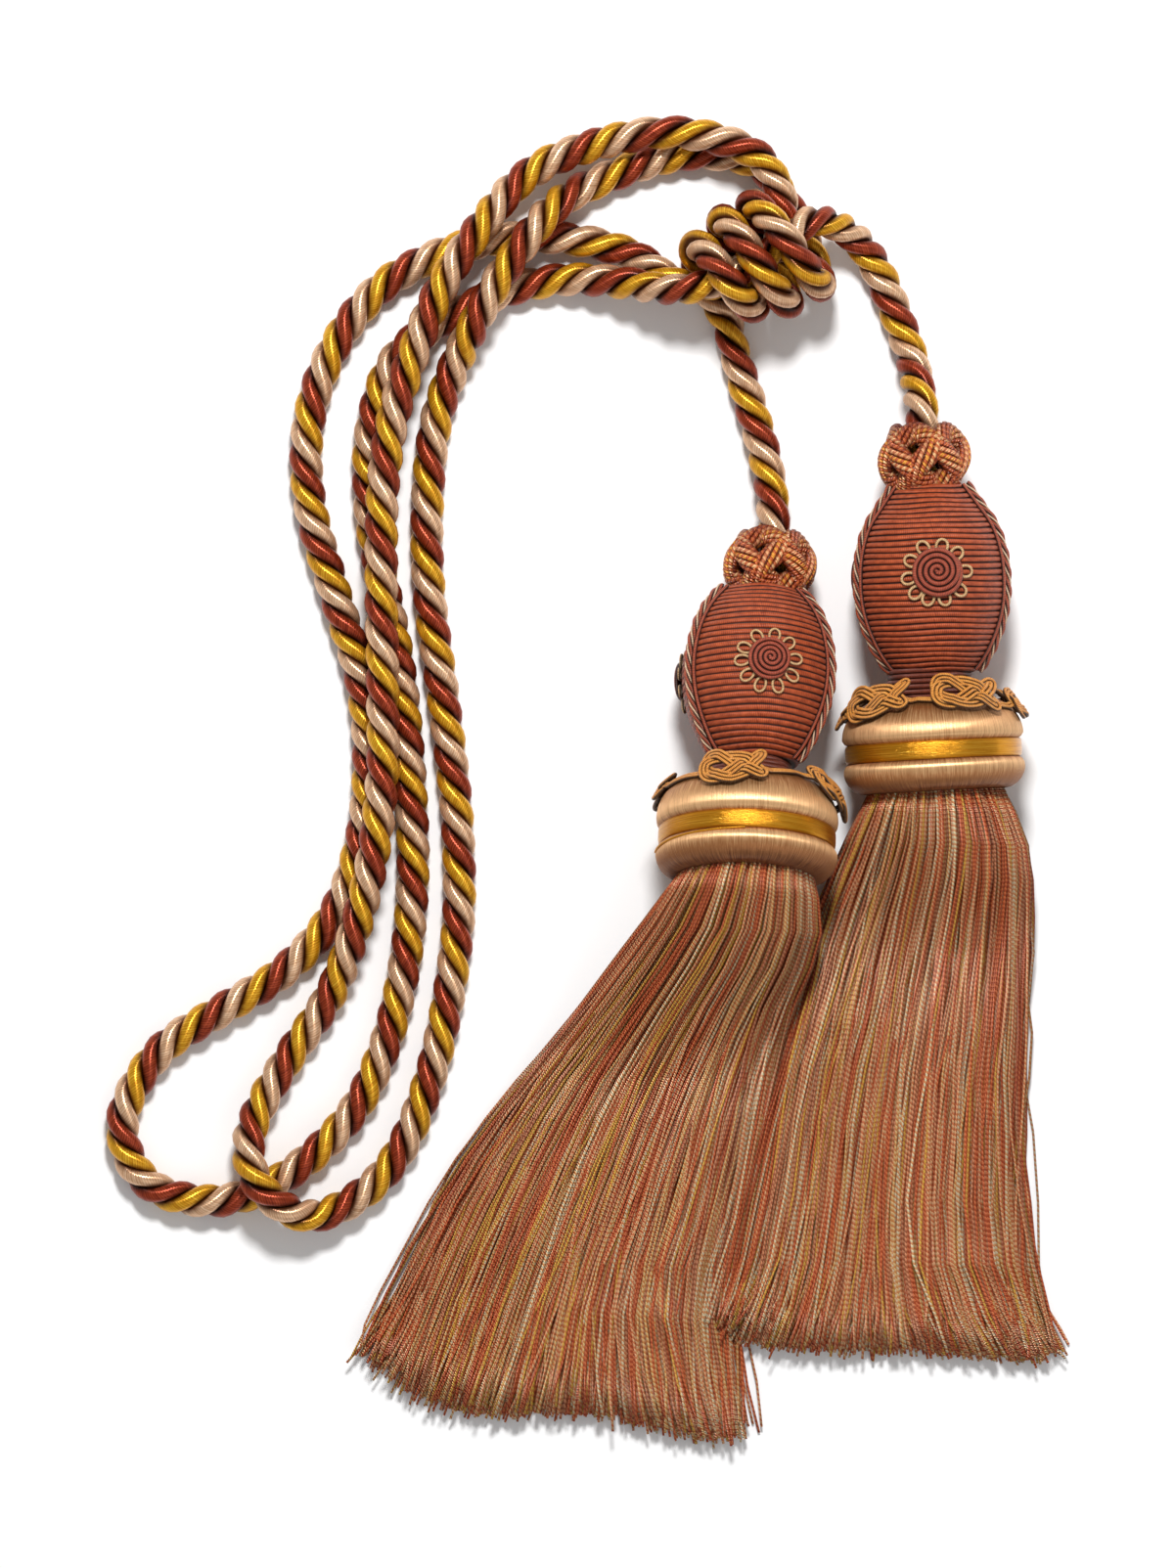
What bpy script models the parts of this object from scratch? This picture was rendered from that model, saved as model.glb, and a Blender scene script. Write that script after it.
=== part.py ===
"""Curtain tieback: one three-strand rope with a wrapped knot and two hanging loops,
and a key tassel at each end. It lies flat on a table, seen from straight above.

Plan positions are in millimetres on the table, x to the right and y away from the skirts;
ORIGIN moves them so that the origin is at the middle of the two tassels' footprint."""

import bmesh
import bpy
from math import atan2, cos, pi, radians, sin, sqrt, tau
from mathutils import Matrix, Vector

MM = 0.001
GAP = 0.3                      # clearance between neighbouring pieces
ORIGIN = (39.41, -48.23)       # middle of the two tassels' footprint in plan

ROPE_RADIUS = 5.6              # over the strands
ROPE_GROOVE = 0.66             # radius in the grooves between strands, as a share
ROPE_LEAD = 25.5               # length of one full turn of a strand
ROPE_STRANDS = 3
ROPE_STEPS_PER_TURN = 5
ROPE_REST = 5.7                # height of its centre line where it lies on the table
KNOT_CENTRE = (54.8, 170.4, 23.1)
KNOT_BEARING = 28.0            # degrees from +x to the knot's own axis
WRAP_RADIUS = 17.4             # to the rope's centre line
WRAP_PITCH = 12.2
KNOT_SQUEEZE = 0.09            # how far the rope is drawn in by the knot
KNOT_NEAR = 30.0
KNOT_FAR = 42.0

BALL_SIDES = 12
BALL_RIB_DEPTH = 0.55
BALL_ARC_SAMPLES = 240
SEAM_CORD_RADIUS = 1.2
SEAM_GIMP_RADIUS = 0.6
SEAM_PITCH = 2.1               # between the middles of a seam's three cords
SEAM_STEPS = 7
SEAM_MARGINS = (1.6, 2.8)      # left free at the ball's lower and upper end
BUTTON_HEIGHT = 2.4
BUTTON_SIDES = 10
PETAL_COUNT = 10
PETAL_NOTCH = 0.78             # how far out the notches between them lie, as a share
PETAL_THICKNESS = 1.0
PETAL_TIP_RISE = 0.1
SLACK = 0.22                   # extra clearance over a facetted surface
SEAM_SLACK = 0.48              # the same under a seam, which crosses the ribs
NECK_RADIUS = 13.4
NECK_END_RADIUS = 12.2
NECK_HALF_FLAT = 0.7           # half the height at its full radius
NECK_EASE = 0.4                # extra clearance under the ball, which leans another way
BUN_SIDES = 18
BUN_RADIUS = 29.6
BUN_GROOVE = (27.6, 2.8)       # its radius and half its height, round the band
BUN_LOWER_LOBE = ((22.0, -13.2), (26.2, -12.0), (28.8, -9.3), (29.7, -6.2))
BUN_UPPER_EDGE = (29.0, 3.8)
SHOULDER_ANGLES = (0, 23, 46, 68, 90)
BAND_WIDTH = 5.0
BAND_RADIUS = 28.9
BAND_ROUNDING = 1.0            # width of its rounded edges
GALLOON_HALF_WIDTH = 1.5
GALLOON_KNOT_HALF_WIDTH = 4.8
GALLOON_KNOT_SPREAD = 24.0     # azimuth from a knot's middle to its end
GALLOON_THICKNESS = 1.2
GALLOON_KNOT_GAIN = 0.3        # how much thicker it is at a knot, as a share
GALLOON_TOP_SHARE = 0.6        # width of its flat top, as a share
GALLOON_STEPS = 30
RUFF_RADIUS = 10.6
RUFF_CORD_RADIUS = 2.15
RUFF_WEAVE = 2.35
RUFF_LEADS = 3
RUFF_BIGHTS = 5
RUFF_STEPS = 40
RUFF_HEIGHT = 6.9
RUFF_CORD_FLATNESS = 1.35
RUFF_EASE = 0.75               # extra clearance over the ball, which leans another way
SKIRT_ROOT_RADIUS = 20.5
SKIRT_ROOT_ARC = 66.0          # half the arc that the lowest and highest rows root on, degrees
SKIRT_ROOT_LEVEL = 4.0         # of the two middle rows, above and below the axis
SKIRT_ROOT_THICKNESS = 1.9
SKIRT_ROOT_DEPTH = 1.2         # how far a root reaches into the heading
SKIRT_SAG = 0.75               # share of the axis height left where the skirt comes down
SKIRT_RAGGED = 5.0             # how much longer or shorter a lock may be
SKIRT_TIP_DROP = 0.9           # height of a lock's tip, as a share of its last section's
HEADING_RADIUS = 23.0
HEADING_TOP = -13.7
HEADING_BOTTOM = -17.1
STRAND_FILL = 0.74             # strand width as a share of its pitch
LOOSE_THREAD = {"start": -84, "sweep": 62, "height": -4.4, "droop": 1.7, "stand_off": 0.75,
                "radius": 0.4, "steps": 6}

# Band centre x, y, z; tilt of the axis in degrees, head down; shift to the right and lean in
# degrees of the bun, the ball and the ruff; the ball's ends along the axis; its ribs; azimuths
# of the seams, buttons and galloon knots, 0 facing up and + to the right; the buttons' seat as
# a share of the ball's height, their radius and how far the petals reach; the rounded
# shoulder's middle (radius, height) and half axes; and how far up it the galloon lies, by
# azimuth.
TASSELS = {
    "left": {
        "centre": (51.95, -17.85, 41.85), "tilt": 14.5,
        "bun": (0.0, 1.7), "ball": (1.85, 2.0), "ruff": (0.0, 5.0),
        "ends": (25.0, 83.0), "ribs": 30,
        "seams": (-62.5, 69.0, 183.0), "buttons": (8.0, 128.0, -112.0),
        "button_seat": 0.485, "button_radius": 7.4, "petal_reach": 11.9,
        "shoulder": (17.0, 5.8, 12.6, 13.2), "knots": (-101.0, -11.0, 73.0, 163.0),
        "galloon": ((-180, 42), (-101, 40), (-50, 48), (-11, 41), (40, 62), (73, 34), (90, 24),
                    (120, 28), (180, 42)),
    },
    "right": {
        "centre": (112.9, 10.7, 28.85), "tilt": 1.0,
        "bun": (0.0, -3.1), "ball": (1.0, -1.6), "ruff": (0.0, -1.8),
        "ends": (25.5, 87.0), "ribs": 34,
        "seams": (-78.0, 78.0, 180.0), "buttons": (3.0, 123.0, -117.0),
        "button_seat": 0.5, "button_radius": 8.7, "petal_reach": 12.6,
        "shoulder": (15.5, 4.6, 14.1, 12.6), "knots": (-115.0, -42.0, 24.0, 92.0, 165.0),
        "galloon": ((-180, 66), (-135, 58), (-90, 34), (-42, 46), (-12, 64), (24, 52), (65, 40),
                    (92, 40), (135, 60), (180, 66)),
    },
}
# The ball's radius at shares of its height, from the neck to the ruff.
BALL_PROFILES = {
    "left": ((0.0, 13.6), (0.06, 16.4), (0.19, 20.5), (0.34, 23.6), (0.49, 24.8), (0.64, 24.1),
             (0.79, 21.6), (0.91, 17.6), (1.0, 13.0)),
    "right": ((0.0, 13.4), (0.05, 15.8), (0.2, 20.8), (0.35, 23.5), (0.49, 24.1), (0.63, 23.3),
              (0.77, 20.6), (0.9, 15.4), (1.0, 11.2)),
}

# The skirt's outline on the table at stations down its length: left end, right end, and the
# height of the heap of yarns there; round is how much of the root's round form is left.
SKIRTS = {
    "left": (
        {"left": (20, -45), "right": (75, -48), "heap": 20, "round": 0.5},
        {"left": (-18, -93), "right": (62, -90), "heap": 12, "round": 0.05},
        {"left": (-64, -176), "right": (42, -190), "heap": 9.5, "round": 0},
    ),
    "right": (
        {"left": (83, -24), "right": (143.5, -24), "heap": 20, "round": 0.5},
        {"left": (67, -76), "right": (142.5, -78), "heap": 12, "round": 0.05},
        {"left": (47, -168), "right": (145.5, -172), "heap": 9.5, "round": 0},
    ),
}
SKIRT_TIPS = {
    "left": ((-72, -188), (-32, -208), (8, -208), (48, -213)),
    "right": ((43.5, -178), (74, -187), (112, -187), (151, -189)),
}
# rows of strands from the table up: how many, and their share of the full width
SKIRT_ROWS = (
    {"strands": 14, "width": 1.00},
    {"strands": 12, "width": 0.93},
    {"strands": 12, "width": 0.87},
    {"strands": 14, "width": 0.80},
)


def knot_point(along, across, height):
    """A point given along and across the knot's own axis."""
    bearing = radians(KNOT_BEARING)
    x = KNOT_CENTRE[0] + along * cos(bearing) - across * sin(bearing)
    y = KNOT_CENTRE[1] + along * sin(bearing) + across * cos(bearing)
    return (x, y, height)


def wrap_point(turn):
    """A point on the coil of the knot's wraps; whole turns are on top."""
    angle = tau * turn
    height = KNOT_CENTRE[2] + WRAP_RADIUS * cos(angle)
    return knot_point(WRAP_PITCH * turn, -WRAP_RADIUS * sin(angle), height)


# The rope's centre line (x, y, z), from the left tassel to the right one.
LEFT_TAIL = [
    (59.1, 64.0, 20.6), (60.0, 73.8, 18.1), (60.9, 84.4, 15.3), (60.4, 95.0, 11.0),
    (57.6, 110.0, 6.8), (52.4, 128.0, 5.8), (47.4, 145.0, 5.8), (45.9, 152.5, 5.8),
]
FIRST_WRAP = [
    knot_point(-17.2, -7.5, 5.8), knot_point(-17.8, -1.0, 5.8), knot_point(-17.4, 6.0, 6.6),
    knot_point(-16.0, 12.0, 12.4), knot_point(-14.4, 13.9, 21.0), knot_point(-13.2, 12.4, 29.8),
    knot_point(-12.2, 6.8, 37.6), knot_point(-11.3, -0.6, 40.6), knot_point(-10.0, -7.9, 37.2),
    knot_point(-8.6, -12.0, 29.8), knot_point(-7.3, -13.2, 21.0), knot_point(-6.4, -11.8, 13.4),
    knot_point(-6.1, -6.8, 7.6), knot_point(-6.2, -1.0, 5.8), knot_point(-5.6, 6.0, 6.6),
]
SECOND_WRAP = [wrap_point(eighth / 8) for eighth in range(-3, 5)]
THIRD_WRAP_RISE = [
    knot_point(6.9, 7.5, 7.6), knot_point(7.2, 14.0, 12.8), knot_point(7.7, 17.4, 21.0),
    knot_point(8.7, 16.0, 30.0), knot_point(10.3, 9.5, 37.9),
]
THIRD_WRAP = [wrap_point(eighth / 8) for eighth in range(8, 12)]
RUN_DOWN_RIGHT = [
    knot_point(18.6, -2.5, 5.9), (58.2, 201.2, 5.9), (51.0, 204.8, 5.8), (30.0, 206.0, 5.8),
    (0.0, 195.8, 7.0), (-9.5, 189.8, 12.5), (-17.6, 181.0, 17.2), (-32.0, 160.0, 17.6),
    (-37.0, 150.0, 15.6), (-42.0, 140.0, 9.9), (-49.2, 120.0, 5.8), (-52.2, 94.0, 5.8),
    (-51.8, 64.0, 5.8), (-46.8, 26.0, 5.8), (-42.4, -14.0, 5.8), (-42.6, -50.0, 5.8),
    (-52.8, -100.5, 5.8), (-66.3, -127.5, 5.8), (-84.0, -140.2, 8.6), (-93.0, -141.2, 12.5),
]
RUN_UP_MIDDLE = [
    (-102.0, -136.5, 16.8), (-108.3, -129.5, 17.4), (-110.8, -120.0, 14.2),
    (-109.0, -110.0, 9.6), (-98.0, -90.0, 5.8), (-84.6, -70.0, 6.6), (-76.6, -50.0, 13.3),
    (-70.4, -26.0, 17.2), (-66.8, 4.0, 16.6), (-66.8, 36.0, 16.8), (-67.2, 68.0, 17.5),
    (-66.6, 98.0, 16.8), (-62.8, 122.0, 16.2), (-51.5, 154.0, 17.5), (-46.2, 165.0, 17.7),
    (-39.8, 175.0, 18.1), (-32.2, 185.5, 15.8), (-22.8, 196.5, 11.4), (-12.0, 203.8, 11.4),
    (10.0, 211.0, 13.6), (30.0, 213.0, 16.2), (50.0, 208.4, 17.4), (58.0, 203.2, 17.4),
]
LOWER_CORE = [
    knot_point(17.4, 12.8, 17.5), knot_point(13.8, 6.0, 17.4), knot_point(6.5, 1.2, 17.2),
    knot_point(-1.5, 0.4, 17.2), knot_point(-8.5, 0.0, 17.2), knot_point(-14.5, 0.0, 17.4),
    knot_point(-20.0, 1.4, 17.0),
]
RUN_DOWN_LEFT = [
    (29.4, 163.7, 14.4), (16.0, 172.8, 7.2), (-3.0, 178.2, 5.8), (-28.0, 178.6, 5.8),
    (-50.0, 172.9, 5.8), (-69.5, 161.0, 5.8), (-84.2, 140.5, 5.8), (-91.4, 117.0, 5.8),
    (-90.8, 92.0, 5.8), (-82.4, 62.0, 5.8), (-74.0, 34.0, 5.8), (-71.5, 8.0, 5.8),
    (-74.4, -20.0, 5.8), (-83.5, -43.5, 5.8), (-100.0, -61.8, 5.8), (-120.0, -74.2, 5.8),
    (-140.0, -87.6, 5.8), (-151.8, -107.5, 5.8), (-151.4, -118.5, 5.8), (-146.6, -128.0, 5.8),
    (-139.0, -133.8, 5.8), (-120.0, -136.5, 5.8),
]
RUN_UP_RIGHT = [
    (-101.5, -130.2, 5.8), (-78.6, -110.0, 5.8), (-67.4, -89.0, 5.8), (-60.2, -62.0, 5.8),
    (-57.1, -32.0, 5.8), (-58.0, 2.0, 5.8), (-61.8, 40.0, 5.8), (-71.0, 90.0, 5.8),
    (-70.2, 119.0, 5.8), (-61.5, 141.0, 5.8), (-33.0, 159.0, 5.8), (-11.0, 165.0, 6.4),
    (10.0, 164.2, 13.4), (27.5, 161.2, 25.4), (35.5, 161.8, 28.8),
]
UPPER_CORE = [
    knot_point(-9.5, -0.4, 29.0), knot_point(-2.0, 0.0, 29.0), knot_point(5.5, 0.0, 29.0),
    knot_point(11.0, 0.6, 29.0), knot_point(16.0, 2.6, 28.0),
]
RIGHT_TAIL = [
    (73.2, 183.9, 25.4), (84.6, 180.8, 15.0), (93.4, 171.5, 7.3), (104.4, 145.6, 6.2),
    (106.7, 137.6, 9.6), (108.2, 129.4, 18.4), (109.3, 120.6, 26.2), (109.7, 110.0, 27.3),
    (110.1, 99.0, 27.5),
]
ROPE_ROUTE = (
    LEFT_TAIL + FIRST_WRAP + SECOND_WRAP + THIRD_WRAP_RISE + THIRD_WRAP + RUN_DOWN_RIGHT
    + RUN_UP_MIDDLE + LOWER_CORE + RUN_DOWN_LEFT + RUN_UP_RIGHT + UPPER_CORE + RIGHT_TAIL
)
ROUTE_SAMPLES = 12             # samples between two of the route's points
ROUTE_STEP = 1.0
ROUTE_SOFTENINGS = 6


def clear_scene():
    for item in list(bpy.data.objects):
        bpy.data.objects.remove(item)


def make_material(name, colour, roughness):
    material = bpy.data.materials.new(name)
    material.use_nodes = True
    shader = material.node_tree.nodes["Principled BSDF"]
    shader.inputs["Base Color"].default_value = (*colour, 1.0)
    shader.inputs["Roughness"].default_value = roughness
    shader.inputs["Metallic"].default_value = 0.0
    material.diffuse_color = (*colour, 1.0)
    return material


def make_materials():
    table = {
        "rope": ((0.42, 0.18, 0.07), 0.45),
        "ruff": ((0.45, 0.20, 0.09), 0.55),
        "gimp": ((0.36, 0.08, 0.03), 0.60),
        "seam_cord": ((0.55, 0.28, 0.16), 0.60),
        "petal": ((0.67, 0.45, 0.24), 0.60),
        "neck": ((0.12, 0.03, 0.02), 0.80),
        "satin": ((0.66, 0.40, 0.19), 0.35),
        "gold_band": ((0.55, 0.26, 0.02), 0.35),
        "galloon": ((0.58, 0.25, 0.04), 0.50),
        "skirt": ((0.40, 0.16, 0.08), 0.65),
    }
    return {name: make_material(name, *values) for name, values in table.items()}


def finish(name, mesh_builder, material, parent=None, smooth=True):
    """Turns a bmesh in millimetres into a named object in metres."""
    bmesh.ops.recalc_face_normals(mesh_builder, faces=mesh_builder.faces)
    bmesh.ops.scale(mesh_builder, vec=(MM, MM, MM), verts=mesh_builder.verts)
    mesh = bpy.data.meshes.new(name)
    mesh_builder.to_mesh(mesh)
    mesh_builder.free()
    if smooth:
        mesh.shade_smooth()
        mesh.set_sharp_from_angle(angle=radians(50))
    mesh.materials.append(material)
    item = bpy.data.objects.new(name, mesh)
    bpy.context.scene.collection.objects.link(item)
    if parent is not None:
        item.parent = parent
    return item


def rings_to_solid(target, rings, closed=False):
    """Skins a list of equal rings of points, with flat caps unless the last meets the first."""
    skinned = [[target.verts.new(point) for point in ring] for ring in rings]
    pairs = list(zip(skinned, skinned[1:]))
    if closed:
        pairs.append((skinned[-1], skinned[0]))
    for lower, upper in pairs:
        count = len(lower)
        for index in range(count):
            following = (index + 1) % count
            target.faces.new((lower[index], lower[following], upper[following], upper[index]))
    if not closed:
        target.faces.new(list(reversed(skinned[0])))
        target.faces.new(skinned[-1])


def turned(profile, sides, start=0.0):
    """Rings of a turned form about +z from (radius, height) rows."""
    rings = []
    for radius, height in profile:
        ring = []
        for side in range(sides):
            angle = start + tau * side / sides
            ring.append(Vector((radius * sin(angle), -radius * cos(angle), height)))
        rings.append(ring)
    return rings


def around(azimuth, radius, height):
    """A point about the tassel's axis: azimuth 0 faces up from the table, + to the right."""
    angle = radians(azimuth)
    return Vector((radius * sin(angle), -radius * cos(angle), height))


def smooth_route(points):
    """Evenly spaced points on a smooth curve through the route's own points."""
    ends = [points[0] * 2 - points[1]] + points + [points[-1] * 2 - points[-2]]
    dense = []
    for index in range(1, len(ends) - 2):
        before, start, end, after = ends[index - 1:index + 3]
        knots = [0.0]
        for first, second in ((before, start), (start, end), (end, after)):
            knots.append(knots[-1] + sqrt((second - first).length))
        for sample in range(ROUTE_SAMPLES):
            place = knots[1] + (knots[2] - knots[1]) * sample / ROUTE_SAMPLES
            dense.append(curve_point((before, start, end, after), knots, place))
    dense.append(points[-1])
    even = respace(dense, ROUTE_STEP)
    for _ in range(ROUTE_SOFTENINGS):
        middle = [(a + b * 2 + c) / 4 for a, b, c in zip(even, even[1:], even[2:])]
        even = [even[0]] + middle + [even[-1]]
    for point in even:
        point.z = max(point.z, ROPE_REST)
    return even


def curve_point(four, knots, place):
    """One point of a centripetal curve through the middle two of four points."""
    level = list(four)
    for degree in (1, 2, 3):
        merged = []
        for index in range(len(level) - 1):
            low = knots[index] if degree < 3 else knots[1]
            high = knots[index + degree] if degree < 3 else knots[2]
            share = (place - low) / (high - low)
            merged.append(level[index].lerp(level[index + 1], share))
        level = merged
    return level[0]


def respace(points, step):
    """The same polyline with its points a fixed step apart."""
    result = [points[0]]
    left = step
    for first, second in zip(points, points[1:]):
        length = (second - first).length
        travelled = left
        while travelled <= length:
            result.append(first.lerp(second, travelled / length))
            travelled += step
        left = travelled - length
    if (result[-1] - points[-1]).length < step / 2:
        result[-1] = points[-1]
    else:
        result.append(points[-1])
    return result


def route_frames(points):
    """Position, side and up vectors carried along the curve without spinning."""
    frames = []
    tangent = (points[1] - points[0]).normalized()
    side = tangent.cross(Vector((0, 0, 1))).normalized()
    for index, point in enumerate(points):
        ahead = points[min(index + 1, len(points) - 1)]
        behind = points[max(index - 1, 0)]
        tangent = (ahead - behind).normalized()
        side = (side - tangent * side.dot(tangent)).normalized()
        frames.append((point, side, tangent.cross(side)))
    return frames


def knot_squeeze(point):
    """How far the rope is drawn in near the knot, as a factor on its radius."""
    distance = sqrt((point.x - KNOT_CENTRE[0]) ** 2 + (point.y - KNOT_CENTRE[1]) ** 2)
    share = min(max((KNOT_FAR - distance) / (KNOT_FAR - KNOT_NEAR), 0.0), 1.0)
    return 1.0 - KNOT_SQUEEZE * share


def build_rope(materials):
    """Three strands laid left-handed, as one solid with raised strands."""
    route = smooth_route([Vector(point) for point in ROPE_ROUTE])
    length = ROUTE_STEP * (len(route) - 1)
    steps = round(length / ROPE_LEAD * ROPE_STEPS_PER_TURN)
    frames = route_frames(respace(route, length / steps))
    twist = -tau / ROPE_STEPS_PER_TURN
    corners = 2 * ROPE_STRANDS
    rings = []
    for index, (point, side, up) in enumerate(frames):
        ring = []
        for corner in range(corners):
            angle = twist * index + tau * corner / corners
            share = 1.0 if corner % 2 == 0 else ROPE_GROOVE
            radius = ROPE_RADIUS * share * knot_squeeze(point)
            ring.append(point + (side * cos(angle) + up * sin(angle)) * radius)
        rings.append(ring)
    mesh_builder = bmesh.new()
    rings_to_solid(mesh_builder, rings)
    for vertex in mesh_builder.verts:
        vertex.co -= Vector((ORIGIN[0], ORIGIN[1], 0))
    bmesh.ops.triangulate(mesh_builder, faces=mesh_builder.faces)
    return finish("rope", mesh_builder, materials["rope"])


def group_axes(name, group):
    """An empty at the band's centre whose +z runs to the tassel's head, for one of its groups."""
    tassel = TASSELS[name]
    x, y, z = tassel["centre"]
    shift, lean = tassel[group][0], radians(tassel[group][1])
    tilt = radians(tassel["tilt"])
    head = Vector((sin(lean) * cos(tilt), cos(lean) * cos(tilt), -sin(tilt)))
    right = Vector((cos(lean), -sin(lean), 0))
    down = head.cross(right)
    axes = bpy.data.objects.new(f"{group}_axis_{name}", None)
    axes.matrix_world = Matrix.Translation(
        Vector((x + shift - ORIGIN[0], y - ORIGIN[1], z)) * MM
    ) @ Matrix((right, down, head)).transposed().to_4x4()
    bpy.context.scene.collection.objects.link(axes)
    return axes


def ball_radius(name, height):
    """Radius of the ball at a height on the axis, eased between the profile's rows."""
    low, high = TASSELS[name]["ends"]
    share = min(max((height - low) / (high - low), 0.0), 1.0)
    rows = BALL_PROFILES[name]
    index = max(place for place in range(len(rows) - 1) if rows[place][0] <= share)
    ends = (rows[max(index - 1, 0)], rows[index], rows[index + 1],
            rows[min(index + 2, len(rows) - 1)])
    span = ends[2][0] - ends[1][0]
    inward = (ends[2][1] - ends[0][1]) / (ends[2][0] - ends[0][0]) * span
    outward = (ends[3][1] - ends[1][1]) / (ends[3][0] - ends[1][0]) * span
    t = (share - ends[1][0]) / span
    return (ends[1][1] * (1 + 2 * t) * (1 - t) ** 2 + inward * t * (1 - t) ** 2
            + ends[2][1] * t * t * (3 - 2 * t) - outward * t * t * (1 - t))


def on_ball(name, azimuth, height, lift):
    """A point at a lift over the ball's surface, along its normal."""
    step = 0.5
    rise = ball_radius(name, height + step) - ball_radius(name, height - step)
    slope = atan2(rise, 2 * step)
    radius = ball_radius(name, height)
    return around(azimuth, radius + lift * cos(slope), height - lift * sin(slope))


def near_button(name, azimuth, distance, direction, lift):
    """A point over the ball at a distance and direction from a button's middle."""
    low, high = TASSELS[name]["ends"]
    height = low + TASSELS[name]["button_seat"] * (high - low) + distance * sin(direction)
    sideways = distance * cos(direction) / ball_radius(name, height)
    return on_ball(name, azimuth + sideways * 180 / pi, height, lift)


def row_heights(name, rows):
    """Heights of rows that lie evenly along the ball's curved side."""
    low, high = TASSELS[name]["ends"]
    step = (high - low) / BALL_ARC_SAMPLES
    travelled = [0.0]
    for sample in range(BALL_ARC_SAMPLES):
        height = low + step * sample
        rise = ball_radius(name, height + step) - ball_radius(name, height)
        travelled.append(travelled[-1] + sqrt(step ** 2 + rise ** 2))
    heights = []
    sample = 0
    for row in range(rows + 1):
        wanted = travelled[-1] * row / rows
        while sample < BALL_ARC_SAMPLES - 1 and travelled[sample + 1] < wanted:
            sample += 1
        share = (wanted - travelled[sample]) / (travelled[sample + 1] - travelled[sample])
        heights.append(low + step * (sample + share))
    return heights


def build_ball(name, axes, materials):
    """A mould covered with rows of gimp, one raised rib for each row."""
    profile = []
    for row, height in enumerate(row_heights(name, 2 * TASSELS[name]["ribs"])):
        depth = 0.0 if row % 2 else BALL_RIB_DEPTH
        profile.append((ball_radius(name, height) - depth, height))
    mesh_builder = bmesh.new()
    front = radians(TASSELS[name]["seams"][0])
    rings_to_solid(mesh_builder, turned(profile, BALL_SIDES, front))
    return finish("ball_" + name, mesh_builder, materials["gimp"], axes)


def build_seam_cord(title, name, axes, azimuth, shift, radius, material):
    """One cord sewn down the ball, four-sided, at a shift beside the seam's middle."""
    low, high = TASSELS[name]["ends"]
    lift = GAP + SEAM_SLACK + radius * cos(pi / 4)
    rings = []
    for step in range(SEAM_STEPS + 1):
        even = step / SEAM_STEPS
        share = (even + (1 - cos(pi * even)) / 2) / 2
        height = low + SEAM_MARGINS[0] + (high - low - sum(SEAM_MARGINS)) * share
        turn = azimuth + shift / ball_radius(name, height) * 180 / pi
        centre = on_ball(name, turn, height, lift)
        outward = (on_ball(name, turn, height, lift + 1) - centre).normalized()
        across = Vector((cos(radians(turn)), sin(radians(turn)), 0))
        ring = []
        for corner in range(4):
            angle = tau * corner / 4 + pi / 4
            ring.append(centre + (across * cos(angle) + outward * sin(angle)) * radius)
        rings.append(ring)
    mesh_builder = bmesh.new()
    rings_to_solid(mesh_builder, rings)
    return finish(title + "_" + name, mesh_builder, material, axes)


BUTTON_PROFILE = (             # share of its radius and height over the ball
    (0.35, GAP + SLACK), (1.0, GAP + SLACK), (1.0, 1.5), (0.84, BUTTON_HEIGHT),
    (0.62, BUTTON_HEIGHT - 0.7), (0.42, BUTTON_HEIGHT + 0.2), (0.14, BUTTON_HEIGHT - 0.5),
)


def build_button(label, name, axes, azimuth, materials):
    """A low coil of gimp in the middle of a panel."""
    reach = TASSELS[name]["button_radius"]
    rings = []
    for share, height in BUTTON_PROFILE:
        ring = []
        for side in range(BUTTON_SIDES):
            angle = tau * side / BUTTON_SIDES
            ring.append(near_button(name, azimuth, reach * share, angle, height))
        rings.append(ring)
    mesh_builder = bmesh.new()
    rings_to_solid(mesh_builder, rings)
    return finish(label, mesh_builder, materials["gimp"], axes)


def build_petals(label, name, axes, azimuth, materials):
    """A ring of ten small loops that peeps out round a button."""
    inner = TASSELS[name]["button_radius"] + GAP + SLACK
    reach = TASSELS[name]["petal_reach"]
    bottom = GAP + SLACK
    sections = []
    for corner in range(2 * PETAL_COUNT):
        angle = tau * corner / (2 * PETAL_COUNT)
        outer = reach * PETAL_NOTCH if corner % 2 else reach
        section = []
        for distance, lift in ((inner, bottom), (outer, bottom + PETAL_TIP_RISE),
                               (inner, bottom + PETAL_THICKNESS)):
            section.append(near_button(name, azimuth, distance, angle, lift))
        sections.append(section)
    mesh_builder = bmesh.new()
    rings_to_solid(mesh_builder, sections, closed=True)
    return finish(label, mesh_builder, materials["petal"], axes)


def build_neck(name, axes, materials):
    """A short wound collar between the bun and the ball."""
    low = bun_profile(name)[-1][1] + GAP
    high = TASSELS[name]["ends"][0] - GAP - NECK_EASE
    middle = (low + high) / 2
    profile = [(NECK_END_RADIUS, low), (NECK_RADIUS, middle - NECK_HALF_FLAT),
               (NECK_RADIUS, middle + NECK_HALF_FLAT), (NECK_END_RADIUS, high)]
    mesh_builder = bmesh.new()
    rings_to_solid(mesh_builder, turned(profile, BALL_SIDES))
    return finish("neck_" + name, mesh_builder, materials["neck"], axes)


def shoulder(name, angle, lift):
    """Radius and height at an angle up the bun's rounded shoulder, lifted off its surface."""
    middle_radius, middle_height, width, rise = TASSELS[name]["shoulder"]
    turn = radians(angle)
    outward = Vector((cos(turn) / width, sin(turn) / rise)).normalized()
    return (middle_radius + width * cos(turn) + lift * outward.x,
            middle_height + rise * sin(turn) + lift * outward.y)


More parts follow.
